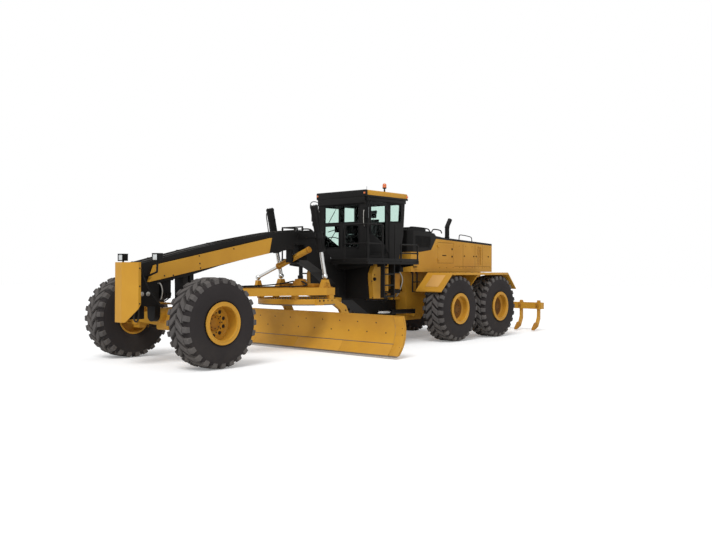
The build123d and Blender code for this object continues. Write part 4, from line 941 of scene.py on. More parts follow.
mirrorArms = bmesh.new()
mirrorFaces = bmesh.new()
for side in (1, -1):
    addPipe(mirrorArms, [
        (0.70, side * 0.93, 4.19), (0.76, side * 1.06, 4.24), (0.80, side * 1.17, 4.20), (0.81, side * 1.19,
            4.08),
        (0.80, side * 1.12, 4.00), (0.80, side * 1.06, 3.96),
    ], 0.013)
    addPipe(mirrorArms, [
        (0.80, side * 1.06, 3.64), (0.80, side * 1.10, 3.56), (0.78, side * 1.08, 3.46), (0.69, side * 0.93,
            3.40),
    ], 0.013)
    addBlock(mirrorArms, (0.78, side * 0.985, 3.62), (0.83, side * 1.125, 3.98), 0.022, 4)
    addBlock(mirrorFaces, (0.774, side * 0.998, 3.64), (0.782, side * 1.112, 3.96), 0.003)
addPiece("mirrorArms", mirrorArms, "blackPlastic")
addPiece("mirrorFaces", mirrorFaces, "mirrorGlass")
grab = bothSides(lambda bm, side: addPipe(bm, [
    (0.70, side * 0.90, 3.42), (0.80, side * 0.985, 3.44), (0.85, side * 0.99, 3.50), (0.85, side * 0.99, 3.84),
    (0.80, side * 0.985, 3.90), (0.70, side * 0.90, 3.92),
], 0.011))
addPiece("cornerGrabBars", grab, "zincSteel")

# driver's seat and controls
seat = {
    "floor": 2.462,
    "cushion": ((-0.47, -0.25, 2.86), (0.05, 0.25, 2.955)),
    "voxel": 0.0075,
    "pressure": 4.0,
    "cap": 0.014,
    "frames": 20,
}


def swell(piece):
    # the pad is blown up a little, and no point moves further than the cap
    before = [v.co.copy() for v in piece.data.vertices]
    cloth = piece.modifiers.new("swell", "CLOTH")
    cloth.settings.quality = 4
    cloth.settings.use_pressure = True
    cloth.settings.uniform_pressure_force = seat["pressure"]
    cloth.settings.effector_weights.gravity = 0
    cloth.point_cache.frame_start = 1
    cloth.point_cache.frame_end = seat["frames"]
    for frameNumber in range(1, seat["frames"] + 1):
        scene.frame_set(frameNumber)
    swollen = bpy.data.meshes.new_from_object(piece.evaluated_get(bpy.context.evaluated_depsgraph_get()))
    after = [v.co.copy() for v in swollen.vertices]
    piece.modifiers.remove(cloth)
    bpy.data.meshes.remove(swollen)
    scene.frame_set(1)
    for v, old, new in zip(piece.data.vertices, before, after):
        step = new - old
        if step.length > seat["cap"]:
            step *= seat["cap"] / step.length
        v.co = old + step


def padPiece(name, bm, channels, turn):
    mesh = bpy.data.meshes.new(name)
    bm.to_mesh(mesh)
    bm.free()
    rough = bpy.data.objects.new(name + "Rough", mesh)
    scene.collection.objects.link(rough)
    fine = rough.modifiers.new("even", "REMESH")
    fine.mode = "VOXEL"
    fine.voxel_size = seat["voxel"]
    bpy.context.view_layer.update()
    evenMesh = bpy.data.meshes.new_from_object(rough.evaluated_get(bpy.context.evaluated_depsgraph_get()))
    bpy.data.objects.remove(rough)
    evenMesh.name = name
    evenMesh.materials.clear()
    evenMesh.materials.append(made["seatCloth"])
    piece = bpy.data.objects.new(name, evenMesh)
    scene.collection.objects.link(piece)
    swell(piece)
    # sewn channels, pressed in after the swelling
    for v in evenMesh.vertices:
        press = 0.0
        for axis, level in channels:
            press = max(press, math.exp(-(((v.co[axis] - level) / 0.009) ** 2)))
        v.co -= v.normal * press * 0.007
    evenMesh.transform(turn)
    for face in evenMesh.polygons:
        face.use_smooth = True
    soft = piece.modifiers.new("smooth", "SUBSURF")
    soft.levels = 1
    soft.render_levels = 1
    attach(piece, "front_frame")
    return piece


level = Matrix.Identity(4)
lean = Matrix.Translation((-0.49, 0, 2.98)) @ Matrix.Rotation(-0.19, 4, "Y")
cushion = padPiece("seatCushion", block(*seat["cushion"], 0.035, 3), ((1, -0.16), (1, 0.16), (0, -0.20)), level)
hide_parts("seat_console")
padPiece("seatBack", block((-0.055, -0.25, 0.0), (0.045, 0.25, 0.74), 0.035, 3),
    ((1, -0.14), (1, 0.14), (2, 0.34)), lean)
padPiece("seatHeadrest", block((-0.045, -0.19, 0.78), (0.035, 0.19, 1.04), 0.03, 3), ((2, 0.91),), lean)

seatFrame = bmesh.new()
addBlock(seatFrame, (-0.42, -0.18, seat["floor"]), (-0.02, 0.18, 2.50), 0.006)
for fold in range(4):
    addBlock(seatFrame, (-0.40, -0.165, 2.50 + fold * 0.065), (-0.04, 0.165, 2.555 + fold * 0.065), 0.016, 2)
addBlock(seatFrame, (-0.48, -0.26, 2.775), (0.055, 0.26, 2.862), 0.014, 3)
backShell = block((-0.085, -0.26, -0.02), (-0.052, 0.26, 0.76), 0.012, 3)
bmesh.ops.transform(backShell, matrix=lean, verts=backShell.verts)
merge(seatFrame, backShell)
for y in (-0.07, 0.07):
    post = rod((-0.02, y, 0.72), (-0.01, y, 0.84), 0.007, 10)
    bmesh.ops.transform(post, matrix=lean, verts=post.verts)
    merge(seatFrame, post)
for side in (1, -1):
    # arm pods with control grips
    addBlock(seatFrame, (-0.44, side * 0.29, 2.99), (0.02, side * 0.38, 3.04), 0.018, 3)
    addBlock(seatFrame, (-0.10, side * 0.285, 3.03), (0.06, side * 0.395, 3.085), 0.02, 3)
    addPipe(seatFrame, [(-0.02, side * 0.34, 3.08), (-0.005, side * 0.34, 3.13), (0.01, side * 0.335, 3.17)],
        0.013)
    addTurned(seatFrame, [(0, 0.0005), (0, 0.018), (0.03, 0.026), (0.07, 0.022), (0.085, 0.0005)],
                            (0.008, side * 0.335, 3.155), (0.15, 0, 1), 16)
    addBlock(seatFrame, (-0.46, side * 0.27, 2.80), (-0.38, side * 0.33, 3.02), 0.012, 2)
addPlate(seatFrame, 
    [(0.34, seat["floor"]), (0.50, seat["floor"]), (0.47, 2.95), (0.45, 3.14), (0.22, 3.235), (0.19, 3.19),
        (0.36, 3.05)],
    "y", -0.165, 0.165, 0.012,
)
addBlock(seatFrame, (0.30, -0.62, 3.30), (0.335, -0.36, 3.52), 0.014, 3)
addRod(seatFrame, (0.33, -0.50, 3.40), (0.62, -0.62, 3.30), 0.012, 10)
addPiece("seatFrame", seatFrame, "blackPlastic")
screens = bmesh.new()
addBlock(screens, (0.293, -0.605, 3.32), (0.303, -0.375, 3.50), 0.004)
addBlock(screens, (0.215, -0.11, 3.222), (0.33, 0.11, 3.232), 0.004)
addPiece("cabScreens", screens, "mirrorGlass")

# walkways: tread plates, toe boards, brackets and rail clamps
walkway = {
    "front": 1.50,
    "rear": -0.78,
    # place along, place across, height of the middle rail and of the top rail
    "posts": (
        (0.85, 1.695, 2.90, 3.43), (1.47, 1.695, 2.90, 3.43), (1.47, 0.84, 2.90, 3.43),
        (-0.75, 1.695, 2.66, 2.90), (0.03, 1.695, 2.66, 2.90),
    ),
}
tread = bmesh.new()
for side in (1, -1):
    for start in (-0.76, -0.20, 0.36, 0.92):
        addBlock(tread, (start, side * 0.965, 2.400), (start + 0.545, side * 1.70, 2.406), 0.002, 1)
        for row in range(6):
            for column in range(5):
                spot = (start + 0.06 + column * 0.105, side * (1.03 + row * 0.12), 2.405)
                addRod(tread, spot, (spot[0], spot[1], spot[2] + 0.005), 0.017, 8, 0.0, 0.013)
addPiece("walkwayTread", tread, "deckTread")
edgeTrim = bmesh.new()
for side in (1, -1):
    addBlock(edgeTrim, (walkway["rear"], side * 1.702, 2.40), (walkway["front"], side * 1.712, 2.50), 0.003)
    addBlock(edgeTrim, (1.486, side * 0.34, 2.40), (1.496, side * 1.70, 2.50), 0.003)
    bracket = [(side * y, z) for y, z in ((0.32, 2.34), (1.66, 2.34), (1.66, 2.30), (0.42, 2.16), (0.32, 2.16))]
    for x in (-0.6, 0.0, 0.6, 1.2):
        addPlate(edgeTrim, bracket, "x", x - 0.008, x + 0.008, 0.0)
    for x, y, middle, top in walkway["posts"]:
        addRod(edgeTrim, (x, side * y, 2.40), (x, side * y, 2.44), 0.042, 16, 0.004)
        addRod(edgeTrim, (x, side * y, top - 0.07), (x, side * y, top - 0.03), 0.032, 16, 0.004)
        addRod(edgeTrim, (x, side * y, middle - 0.03), (x, side * y, middle + 0.03), 0.030, 16, 0.004)
addPiece("walkwayEdges", edgeTrim, "blackPaint")

# front frame: pipes on top, clamps, bolts, valves, tow loops, reflectors, headlamps
frameTrim = {"pipeY": (-0.20, -0.14, 0.14, 0.20), "pipeRadius": 0.013}
beamLine = ((7.55, 2.327), (5.85, 2.748), (3.94, 3.106), (3.13, 3.216), (2.45, 3.270))
pipes = bmesh.new()
for y in frameTrim["pipeY"]:
    addPipe(pipes, [(x, y, z) for x, z in beamLine], frameTrim["pipeRadius"])
for side in (1, -1):
    addPipe(pipes, [
        (2.46, side * 0.15, 3.29), (2.30, side * 0.22, 3.31), (2.28, side * 0.36, 3.26), (2.40, side * 0.55,
            3.18),
        (2.46, side * 0.72, 3.20),
    ], 0.020)
    addPipe(pipes, [
        (7.54, side * 0.15, 2.345), (7.60, side * 0.20, 2.32), (7.62, side * 0.30, 2.22), (7.58, side * 0.40,
            1.9),
        (7.40, side * 0.42, 1.62), (7.20, side * 0.38, 1.42), (7.05, side * 0.30, 1.30),
    ], 0.018)
addPiece("beamPipes", pipes, "hoseRubber")
clamps = bmesh.new()
for x, z in ((7.1, 2.432), (6.3, 2.626), (5.4, 2.822), (4.5, 2.990), (3.5, 3.152), (2.8, 3.226)):
    for y in (-0.17, 0.17):
        addBlock(clamps, (x - 0.025, y - 0.05, z - 0.01), (x + 0.025, y + 0.05, z + 0.022), 0.006, 2)
for side in (1, -1):
    for x, z in ((7.05, 2.03), (6.81, 2.04), (6.08, 2.50), (6.06, 2.32), (6.04, 2.21), (5.03, 2.69)):
        addBolt(clamps, (x, side * 0.380, z), (0, side, 0), 0.013, 0.010)
    for z in (2.20, 1.80, 1.41):
        addBolt(clamps, (7.715, side * 0.392, z), (0, side, 0), 0.018, 0.024)
        addBolt(clamps, (7.985, side * 0.10, z), (1, 0, 0), 0.018, 0.012)
    boltRow(clamps, (2.40, side * 0.90, 3.17), (2.40, side * 0.32, 3.17), 3, (0, 0, 1), 0.018, 0.014)
    boltRing(clamps, (0.10, side * 0.28, 1.85), (0, side, 0), 0.11, 6, 0.014, 0.012)
addPiece("frameClamps", clamps, "boltSteel")
rounds = bothSides(lambda bm, side: [
    addTurned(bm, [(0, 0.0005), (0.020, 0.0005), (0.020, 0.036), (0.012, 0.050), (0, 0.052)],
        (x, side * 0.28, z), (0, side, 0), 24)
    for x, z in ((7.42, 1.62), (7.58, 1.62))
])
addPiece("bolsterPlugs", rounds, "zincSteel")
loops = bothSides(lambda bm, side: addPipe(bm, [
    (7.69, side * 0.26, 1.36), (7.75, side * 0.27, 1.24), (7.79, side * 0.28, 1.12), (7.77, side * 0.29, 1.02),
    (7.70, side * 0.285, 1.00), (7.65, side * 0.27, 1.08), (7.64, side * 0.26, 1.34),
], 0.020))
valves = bmesh.new()
addBlock(valves, (6.74, -0.20, 1.50), (7.00, 0.20, 1.98), 0.02, 3)
addBlock(valves, (6.70, -0.24, 1.92), (7.05, 0.24, 2.06), 0.012, 2)
for side in (1, -1):
    for x in (6.79, 6.87, 6.95):
        addRod(valves, (x, side * 0.20, 1.62), (x, side * 0.245, 1.62), 0.028, 14, 0.004)
        addPipe(valves, [
            (x, side * 0.24, 1.62), (x + 0.02, side * 0.30, 1.58), (x + 0.10, side * 0.32, 1.50), (x + 0.20,
                side * 0.28, 1.44),
        ], 0.015)
addPiece("steeringValves", valves, "hoseRubber")
bows = bothSides(lambda bm, side: addPipe(bm, [
    (7.16, side * 0.27, 1.86), (7.14, side * 0.32, 1.88), (7.09, side * 0.34, 1.78), (7.07, side * 0.34, 1.62),
    (7.09, side * 0.30, 1.48),
], 0.015))
addPiece("bolsterHoses", bows, "zincSteel")
addPiece("towLoops", loops, "boltSteel")
# reflectors in the clear lens finish, which glows a little: a painted glow, as a reflector is no lamp
strips = bothSides(lambda bm, side: [
    addPlate(bm, 
        [(x0, z0), (x0 + 0.034, z0 + 0.022), (x1 + 0.034, z1 + 0.022), (x1, z1)], "y",
        *span(side, 0.2795, 0.2835), 0.001,
    ) for (x0, z0), (x1, z1) in (((0.98, 2.28), (0.83, 2.52)), ((0.46, 1.92), (0.31, 2.18)))
])
addPiece("armReflectors", strips, "clearLens")
lampTrim = bmesh.new()
lampGlass = bmesh.new()
for side in (1, -1):
    spans = span(side, 0.60, 0.80)
    surround(lampTrim, "x", 7.50, 7.532, (spans[0] + 0.016, spans[1] - 0.016), (2.386, 2.514), 0.022)
    addBlock(lampTrim, (7.375, spans[0] - 0.004, 2.524), (7.54, spans[1] + 0.004, 2.538), 0.005)
    addBlock(lampGlass, (7.512, spans[0] + 0.014, 2.384), (7.524, spans[1] - 0.014, 2.516), 0.005)
addPiece("headlampShells", lampTrim, "blackPlastic")
addPiece("headlampGlass", lampGlass, "clearLens")

# side panels and the box under the walkway
panelTrim = bmesh.new()
darkTrim = bmesh.new()
for side in (1, -1):
    for x, z in ((0.42, 1.40), (0.80, 1.40), (0.84, 1.86), (0.72, 2.04), (0.36, 2.18)):
        addBolt(darkTrim, (x, side * 1.300, z), (0, side, 0), 0.014, 0.010)
    addTurned(darkTrim, [(0, 0.0005), (0.045, 0.0005), (0.045, 0.040), (0.012, 0.052), (0, 0.052)],
        (0.73, side * 1.298, 1.92), (0, side, 0), 24)
    addRod(darkTrim, (0.13, side * 1.215, 1.46), (0.13, side * 1.215, 1.545), 0.050, 20, 0.008)
    addRod(darkTrim, (0.13, side * 1.215, 1.545), (0.13, side * 1.215, 1.575), 0.084, 24, 0.006)
    addRod(darkTrim, (0.13, side * 1.215, 2.22), (0.13, side * 1.215, 2.26), 0.084, 24, 0.006)
    for drop in (0.0, 0.05, 0.10):
        addPipe(darkTrim, [
            (0.20, side * (1.10 - drop), 1.45), (0.00, side * (1.12 - drop), 1.38), (-0.20,
                side * (1.02 - drop), 1.36),
            (-0.45, side * (0.80 - drop), 1.30), (-0.62, side * (0.50 - drop), 1.20),
        ], 0.017)
    addBlock(panelTrim, (-0.46, side * 1.10, 1.62), (-0.14, side * 1.28, 2.08), 0.02, 3)
    addBlock(darkTrim, (-0.50, side * 0.60, 1.50), (-0.08, side * 1.26, 1.60), 0.01, 2)
    addBlock(darkTrim, (-0.52, side * 0.28, 2.05), (-0.06, side * 1.22, 2.12), 0.01, 2)
    addPipe(darkTrim, [
        (-0.30, side * 1.16, 1.60), (-0.31, side * 1.17, 1.45), (-0.42, side * 1.10, 1.33), (-0.60,
            side * 0.90, 1.28),
    ], 0.015)
    addBlock(panelTrim, (-0.44, side * 1.278, 1.66), (-0.16, side * 1.286, 2.04), 0.004, 2)
    for lift in (0.0, 0.055, 0.11, 0.165):
        addPipe(darkTrim, [
            (-0.02, side * 1.02, 2.20 - lift), (-0.20, side * (1.10 + lift * 0.4), 2.17 - lift), (-0.42,
                side * 1.16, 2.08 - lift * 1.4),
            (-0.56, side * 1.06, 1.86 - lift * 1.2), (-0.72, side * 0.86, 1.66 - lift),
        ], 0.019)
    addBlock(darkTrim, (-0.66, side * 0.62, 2.12), (-0.50, side * 1.24, 2.30), 0.015, 2)
# the box's panels take the darker ochre, which is painted shade
addPiece("sideBoxPanels", panelTrim, "ochrePaintedShade")
addPiece("sideBoxTrim", darkTrim, "hoseRubber")
pale = bmesh.new()
addPipe(pale, [
    (-0.52, 1.20, 2.12), (-0.56, 1.26, 2.02), (-0.60, 1.27, 1.86), (-0.56, 1.22, 1.66), (-0.60, 1.12,
        1.50), (-0.70, 0.95, 1.40),
], 0.018)
addPiece("paleHose", pale, "zincSteel")

# lift and shift cylinders: caps, ports, tubes
ram = {"tube": 0.013, "bolt": 0.012}
liftAlong = Vector((-0.257, 0, -1.10)).normalized()
for side, sideName in sides:
    foot = Vector((2.537, side * 0.87, 3.10))
    bm = bmesh.new()
    for ring in (
        [(-0.806, 0.0005), (-0.806, 0.09), (-0.79, 0.112), (-0.74, 0.112), (-0.735, 0.1055), (-0.735, 0.0005)],
        [(0.38, 0.1055), (0.385, 0.122), (0.44, 0.122), (0.449, 0.110), (0.449, 0.058), (0.38, 0.058)],
        [(-0.50, 0.1055), (-0.497, 0.111), (-0.463, 0.111), (-0.46, 0.1055)],
    ):
        addTurned(bm, ring, foot, liftAlong, 36)
    boltRing(bm, foot + liftAlong * -0.806, -liftAlong, 0.075, 8, ram["bolt"], 0.014)
    for turn in (0.0, 0.7):
        out = Vector((math.sin(turn), side * math.cos(turn), 0))
        out = (out - liftAlong * out.dot(liftAlong)).normalized()
        for run in (
            ((-0.70, 0.10), (-0.66, 0.135), (-0.3, 0.138), (-0.13, 0.150)),
            ((0.40, 0.11), (0.36, 0.140), (0.20, 0.142), (0.10, 0.150)),
        ):
            addPipe(bm, [foot + liftAlong * a + out * b for a, b in run], ram["tube"])
    addPiece(f"liftCylinderTrim_{sideName}", bm, "blackPaint", f"lift_barrel_{sideName}")
shiftFoot = Vector((2.66, 0, 2.48))
shiftAlong = Vector((0, -1.42, -0.53)).normalized()
bm = bmesh.new()
for ring in (
    [(-0.706, 0.0005), (-0.706, 0.070), (-0.69, 0.087), (-0.64, 0.087), (-0.635, 0.0805), (-0.635, 0.0005)],
    [(0.56, 0.0805), (0.565, 0.094), (0.615, 0.094), (0.624, 0.084), (0.624, 0.047), (0.56, 0.047)],
):
    addTurned(bm, ring, shiftFoot, shiftAlong, 32)
for offset in (0.10, 0.13):
    forward = Vector((1, 0, 0))
    run = ((0.58 - offset, 0.085), (0.55, offset + 0.012), (0.2, offset + 0.012), (0.155, offset + 0.012))
    addPipe(bm, [shiftFoot + shiftAlong * a + forward * b for a, b in run], 0.012)
# the shift cylinder's caps take the darker ochre, which is painted shade
addPiece("shiftCylinderTrim", bm, "ochrePaintedShade", "shift_barrel")

# drawbar, circle and gearbox
circleTrim = {"centre": (2.38, 0.0), "inner": 1.0, "shoe": 1.23, "teeth": 72, "low": 1.262, "high": 1.378}
gear = bmesh.new()
for step in range(circleTrim["teeth"]):
    tooth = block((-0.017, -0.004, circleTrim["low"]), (0.017, 0.034, circleTrim["high"]), 0.006, 1)
    bmesh.ops.translate(tooth, vec=(0, -circleTrim["inner"], 0), verts=tooth.verts)
    bearing = 2 * math.pi * step / circleTrim["teeth"]
    merge(gear, tooth, Matrix.Translation((*circleTrim["centre"], 0)) @ Matrix.Rotation(bearing, 4, "Z"))
addTurned(gear, [(1.236, 1.002), (1.236, 1.148), (1.242, 1.156), (1.262, 1.156), (1.266, 1.149)], (2.38, 0, 0),
    (0, 0, 1), 96)
addPiece("circleTeeth", gear, "steelEdge", "circle")
armBolts = bothSides(lambda bm, side: [
    boltRow(bm, (2.30, side * 1.136, 1.36), (2.75, side * 1.136, 1.36), 4, (0, side, 0), 0.018, 0.014),
    boltRing(bm, (2.08, side * 1.150, 0.43), (0, side, 0), 0.030, 3, 0.009, 0.010),
    boltRow(bm, (1.74, side * 1.136, 1.08), (1.66, side * 1.136, 0.84), 3, (0, side, 0), 0.016, 0.012),
])
addPiece("circleArmBolts", armBolts, "boltSteel", "circle")
box = bmesh.new()
addTurned(box, [
    (1.70, 0.0005), (1.70, 0.245), (1.73, 0.250), (1.755, 0.215), (1.85, 0.205), (1.865, 0.16), (1.92,
        0.15), (1.93, 0.0005),
], (2.36, 0, 0), (0, 0, 1), 40)
boltRing(box, (2.36, 0, 1.742), (0, 0, 1), 0.228, 12, 0.014, 0.012)
addBlock(box, (2.20, 0.30, 1.70), (2.48, 0.62, 1.80), 0.02, 3)
addBlock(box, (2.20, -0.62, 1.70), (2.48, -0.30, 1.80), 0.02, 3)
for side in (1, -1):
    for bearing in (39, 95):
        angle = math.radians(bearing)
        spot = (2.38 + circleTrim["shoe"] * math.cos(angle), side * circleTrim["shoe"] * math.sin(angle))
        y = spot[1] * 0.86
        boltRow(box, (spot[0] - 0.05, y, 1.70), (spot[0] + 0.05, y, 1.70), 2, (0, 0, 1), 0.024, 0.022)
    addPlate(box, [(5.60, side * 0.20), (3.06, side * 0.86), (3.02, side * 0.80), (5.56, side * 0.155)], "z",
        1.699, 1.712, 0.003)
    boltRow(box, (5.2, side * 0.27, 1.711), (3.3, side * 0.765, 1.711), 8, (0, 0, 1), 0.013, 0.010)
    boltRing(box, (2.28, side * 0.955, 1.80), (0, side, 0), 0.035, 3, 0.012, 0.012)
# the circle drive takes the darker ochre, which is painted shade
addPiece("circleDrive", box, "ochrePaintedShade", "drawbar")
lines = bmesh.new()
for side in (1, -1):
    for gap in (0.0, 0.05):
        addPipe(lines, [
            (5.5, side * (0.10 + gap), 1.72), (4.6, side * (0.33 + gap), 1.735), (3.6, side * (0.58 + gap),
                1.735),
            (3.0, side * (0.70 + gap), 1.74), (2.75, side * (0.62 + gap), 1.76), (2.55, side * (0.40 + gap),
                1.80),
            (2.46, side * (0.14 + gap), 1.86),
        ], 0.016)
addRod(lines, (2.36, 0.0, 1.925), (2.36, 0.0, 2.02), 0.075, 24, 0.01)
addPiece("drawbarHoses", lines, "hoseRubber", "drawbar")

# blade: cutting edge, end plates, seams, bolts, and a dark strip along the foot that is painted shade
blade = {
    "half": 3.6575, "plates": 4, "edgeTop": 0.335, "edgeLow": 0.055, "thick": 0.022, "endPlate": 0.292,
    "endTop": 1.03,
}


def circleThrough(a, b, c):
    ax, ay = a
    bx, by = b
    cx, cy = c
    d = 2 * (ax * (by - cy) + bx * (cy - ay) + cx * (ay - by))
    a2 = ax * ax + ay * ay
    b2 = bx * bx + by * by
    c2 = cx * cx + cy * cy
    ux = (a2 * (by - cy) + b2 * (cy - ay) + c2 * (ay - by)) / d
    uy = (a2 * (cx - bx) + b2 * (ax - cx) + c2 * (bx - ax)) / d
    return Vector((ux, uy)), math.hypot(ax - ux, ay - uy)


bladeCentre, bladeRadius = circleThrough((2.610, 0.075), (2.334, 0.600), (2.420, 1.045))


def bladeSpot(z, proud=0.0):
    # a point at this height on the blade's hollow front, or so far in front of it
    reach = bladeRadius - proud
    drop = z - bladeCentre.y
    return Vector((bladeCentre.x - math.sqrt(max(reach * reach - drop * drop, 0)), z))


def bladeNormal(z):
    spot = bladeSpot(z)
    return Vector((bladeCentre.x - spot.x, bladeCentre.y - spot.y)).normalized()


def edgePlate(bm, low, high, y0, y1, thick):
    levels = [low + (high - low) * step / 4 for step in range(5)]
    back = [tuple(bladeSpot(z, -0.002)) for z in levels]
    front = [tuple(bladeSpot(z, thick)) for z in reversed(levels)]
    addPlate(bm, back + front, "y", y0, y1, 0.003)


edge = bmesh.new()
wide = 2 * (blade["half"] - 0.30) / blade["plates"]
for step in range(blade["plates"]):
    y0 = -blade["half"] + 0.30 + step * wide
    edgePlate(edge, blade["edgeLow"] + 0.02, blade["edgeTop"], y0 + 0.002, y0 + wide - 0.002, blade["thick"])
for side in (1, -1):
    ends = span(side, blade["half"] - blade["endPlate"], blade["half"] - 0.001)
    edgePlate(edge, blade["edgeLow"] + 0.02, blade["endTop"], *ends, blade["thick"] * 0.6)
addPiece("cuttingEdge", edge, "ochrePaint", "moldboard", "dark_steel")
seamsAndShadeStrip = bmesh.new()
edgePlate(seamsAndShadeStrip, blade["edgeTop"] + 0.001, blade["edgeTop"] + 0.016, -3.36, 3.36, 0.006)
# a dark steel strip along the blade's foot: painted shade for the blade's underside
edgePlate(seamsAndShadeStrip, 0.048, blade["edgeLow"] + 0.024, -blade["half"] + 0.001, blade["half"] - 0.001,
    blade["thick"] + 0.002)
for side in (1, -1):
    edgePlate(seamsAndShadeStrip, blade["edgeTop"], blade["endTop"], *span(side, 3.352, 3.362), 0.006)
addPiece("bladeSeamsAndShadeStrip", seamsAndShadeStrip, "steelEdge", "moldboard")
dots = bmesh.new()
for z, first in ((0.845, 3.37), (0.60, 3.05)):
    normal = bladeNormal(z)
    spot = bladeSpot(z, 0.0)
    for step in range(11):
        addBolt(dots, (spot.x, first - 0.63 * step, spot.y), (normal.x, 0, normal.y), 0.013, 0.006)
for side in (1, -1):
    for z in (0.17, 0.27, 0.42, 0.58, 0.74, 0.90):
        normal = bladeNormal(z)
        spot = bladeSpot(z, blade["thick"] * 0.6)
        addBolt(dots, (spot.x, side * (blade["half"] - 0.07), spot.y), (normal.x, 0, normal.y), 0.013, 0.008)
addPiece("bladeBolts", dots, "boltSteel", "moldboard")
backRibs = bmesh.new()
for y in (-3.1, -2.5, -1.9, 1.9, 2.5, 3.1):
    addPlate(backRibs, [
        (2.232, 0.40), (2.300, 0.42), (2.293, 0.60), (2.308, 0.74), (2.232, 0.735),
    ], "y", y - 0.012, y + 0.012, 0.0)
# the ribs behind the blade take the darker ochre, which is painted shade
addPiece("bladeRibs", backRibs, "ochrePaintedShade", "moldboard")

# hood: seams, latches, cowl mesh, deck rails and caps, lamps
hood = {"rear": -6.005, "seams": (-4.224, -4.947, -5.40)}
dark = bmesh.new()
for side in (1, -1):
    for x in hood["seams"]:
        addBlock(dark, (x - 0.004, side * 0.949, 2.215), (x + 0.004, side * 0.9515, 3.04), 0.0)
    addBlock(dark, (hood["rear"] + 0.05, side * 0.949, 2.30), (-3.72, side * 0.9515, 2.307), 0.0)
    for x in (-4.30, -4.86, -5.02, -5.78):
        addBlock(dark, (x - 0.03, side * 0.949, 2.625), (x + 0.03, side * 0.960, 2.665), 0.006, 2)
    boltRow(dark, (-2.90, side * 0.95, 2.26), (-5.90, side * 0.95, 2.26), 9, (0, side, 0), 0.008, 0.006)
    boltRow(dark, (-4.0, side * 0.95, 2.97), (-5.90, side * 0.95, 2.97), 6, (0, side, 0), 0.008, 0.006)
    # black mesh in the cowl's flank
    surround(dark, "y", *span(side, 0.946, 0.958), (-2.38, -1.66), (2.90, 3.22), 0.018)
    for step in range(29):
        x = -2.37 + step * 0.0245
        addBlock(dark, (x, side * 0.949, 2.90), (x + 0.006, side * 0.953, 3.22), 0.0)
    for step in range(11):
        z = 2.925 + step * 0.027
        addBlock(dark, (-2.38, side * 0.949, z), (-1.66, side * 0.953, z + 0.006), 0.0)
for y in range(-6, 7):
    addBlock(dark, (-6.0045, y * 0.1 - 0.006, 2.33), (-5.995, y * 0.1 + 0.006, 2.89), 0.0)
addPiece("hoodTrim", dark, "blackPlastic", "rear_frame")
for side, sideName in sides:
    bm = bmesh.new()
    for z in (2.62, 2.86):
        addBlock(bm, (-3.615, side * 0.949, z - 0.03), (-3.555, side * 0.960, z + 0.03), 0.006, 2)
    addBlock(bm, (-3.26, side * 0.9485, 2.635), (-3.04, side * 0.9530, 2.665), 0.001, 1)
    addPiece(f"engineDoorTrim_{sideName}", bm, "blackPlastic", f"engine_door_{sideName}")
top = bmesh.new()
for side in (1, -1):
    addPipe(top, [
        (-2.05, side * 0.34, 3.44), (-2.09, side * 0.34, 3.52), (-2.20, side * 0.34, 3.555), (-3.02,
            side * 0.34, 3.53),
        (-3.16, side * 0.34, 3.50), (-3.20, side * 0.34, 3.42),
    ], 0.020)
    addPipe(top, [
        (-3.30, side * 0.34, 3.42), (-3.34, side * 0.34, 3.50), (-3.44, side * 0.34, 3.525), (-3.74,
            side * 0.34, 3.51),
        (-3.84, side * 0.34, 3.47), (-3.86, side * 0.34, 3.40),
    ], 0.020)
    addPipe(top, [
        (-4.50, side * 0.60, 3.12), (-4.50, side * 0.60, 3.34), (-4.56, side * 0.60, 3.38), (-5.20,
            side * 0.60, 3.33),
        (-5.28, side * 0.60, 3.28), (-5.29, side * 0.60, 3.08),
    ], 0.015)
    addBlock(top, (-1.66, side * 0.40, 3.39), (-1.46, side * 0.62, 3.43), 0.01, 2)
    # steps beside the hood's front corner
    for z in (2.26, 2.44):
        addBlock(top, (-1.64, side * 0.945, z), (-1.50, side * 1.015, z + 0.03), 0.008, 2)
for x, y, level in ((-2.42, 0.12, 3.43), (-2.72, -0.14, 3.42), (-2.98, 0.10, 3.41)):
    addTurned(top, [
        (level, 0.0005), (level, 0.07), (level + 0.06, 0.075), (level + 0.08, 0.05), (level + 0.085, 0.0005),
    ], (x, y, 0), (0, 0, 1), 28)
for level in (3.27, 3.60):
    addTurned(top, [(level, 0.076), (level + 0.003, 0.084), (level + 0.032, 0.084), (level + 0.035, 0.076)],
        (-4.23, 0.30, 0), (0, 0, 1), 32)
addPiece("deckFittings", top, "blackPaint", "rear_frame")
tail = bmesh.new()
tailShells = bmesh.new()
for side in (1, -1):
    addBlock(tailShells, (-6.03, side * 0.74, 2.62), (-5.99, side * 0.90, 2.86), 0.012, 3)
    for z in (2.80, 2.69):
        lens = [(0, 0.0005), (0.012, 0.0005), (0.012, 0.038), (0, 0.046)]
        addTurned(tail, lens, (-6.03, side * 0.82, z), (-1, 0, 0), 24)
addPiece("tailLampShells", tailShells, "blackPlastic", "rear_frame")
addPiece("tailLamps", tail, "redLens", "rear_frame")
motor = bmesh.new()
for side in (1, -1):
    addBlock(motor, (-3.9, side * 0.345, 2.42), (-3.0, side * 0.42, 2.62), 0.03, 3)
    for cylinder in range(6):
        x = -3.86 + cylinder * 0.16
        addRod(motor, (x, side * 0.36, 2.66), (x, side * 0.42, 2.66), 0.05, 16, 0.006)
    addPipe(motor, [(-3.0, side * 0.40, 2.5), (-2.8, side * 0.42, 2.45), (-2.6, side * 0.38, 2.30),
        (-2.3, side * 0.37, 2.24)], 0.045)
    addPipe(motor, [(-4.8, side * 0.37, 2.8), (-4.4, side * 0.40, 2.78), (-4.0, side * 0.38, 2.74)], 0.03)
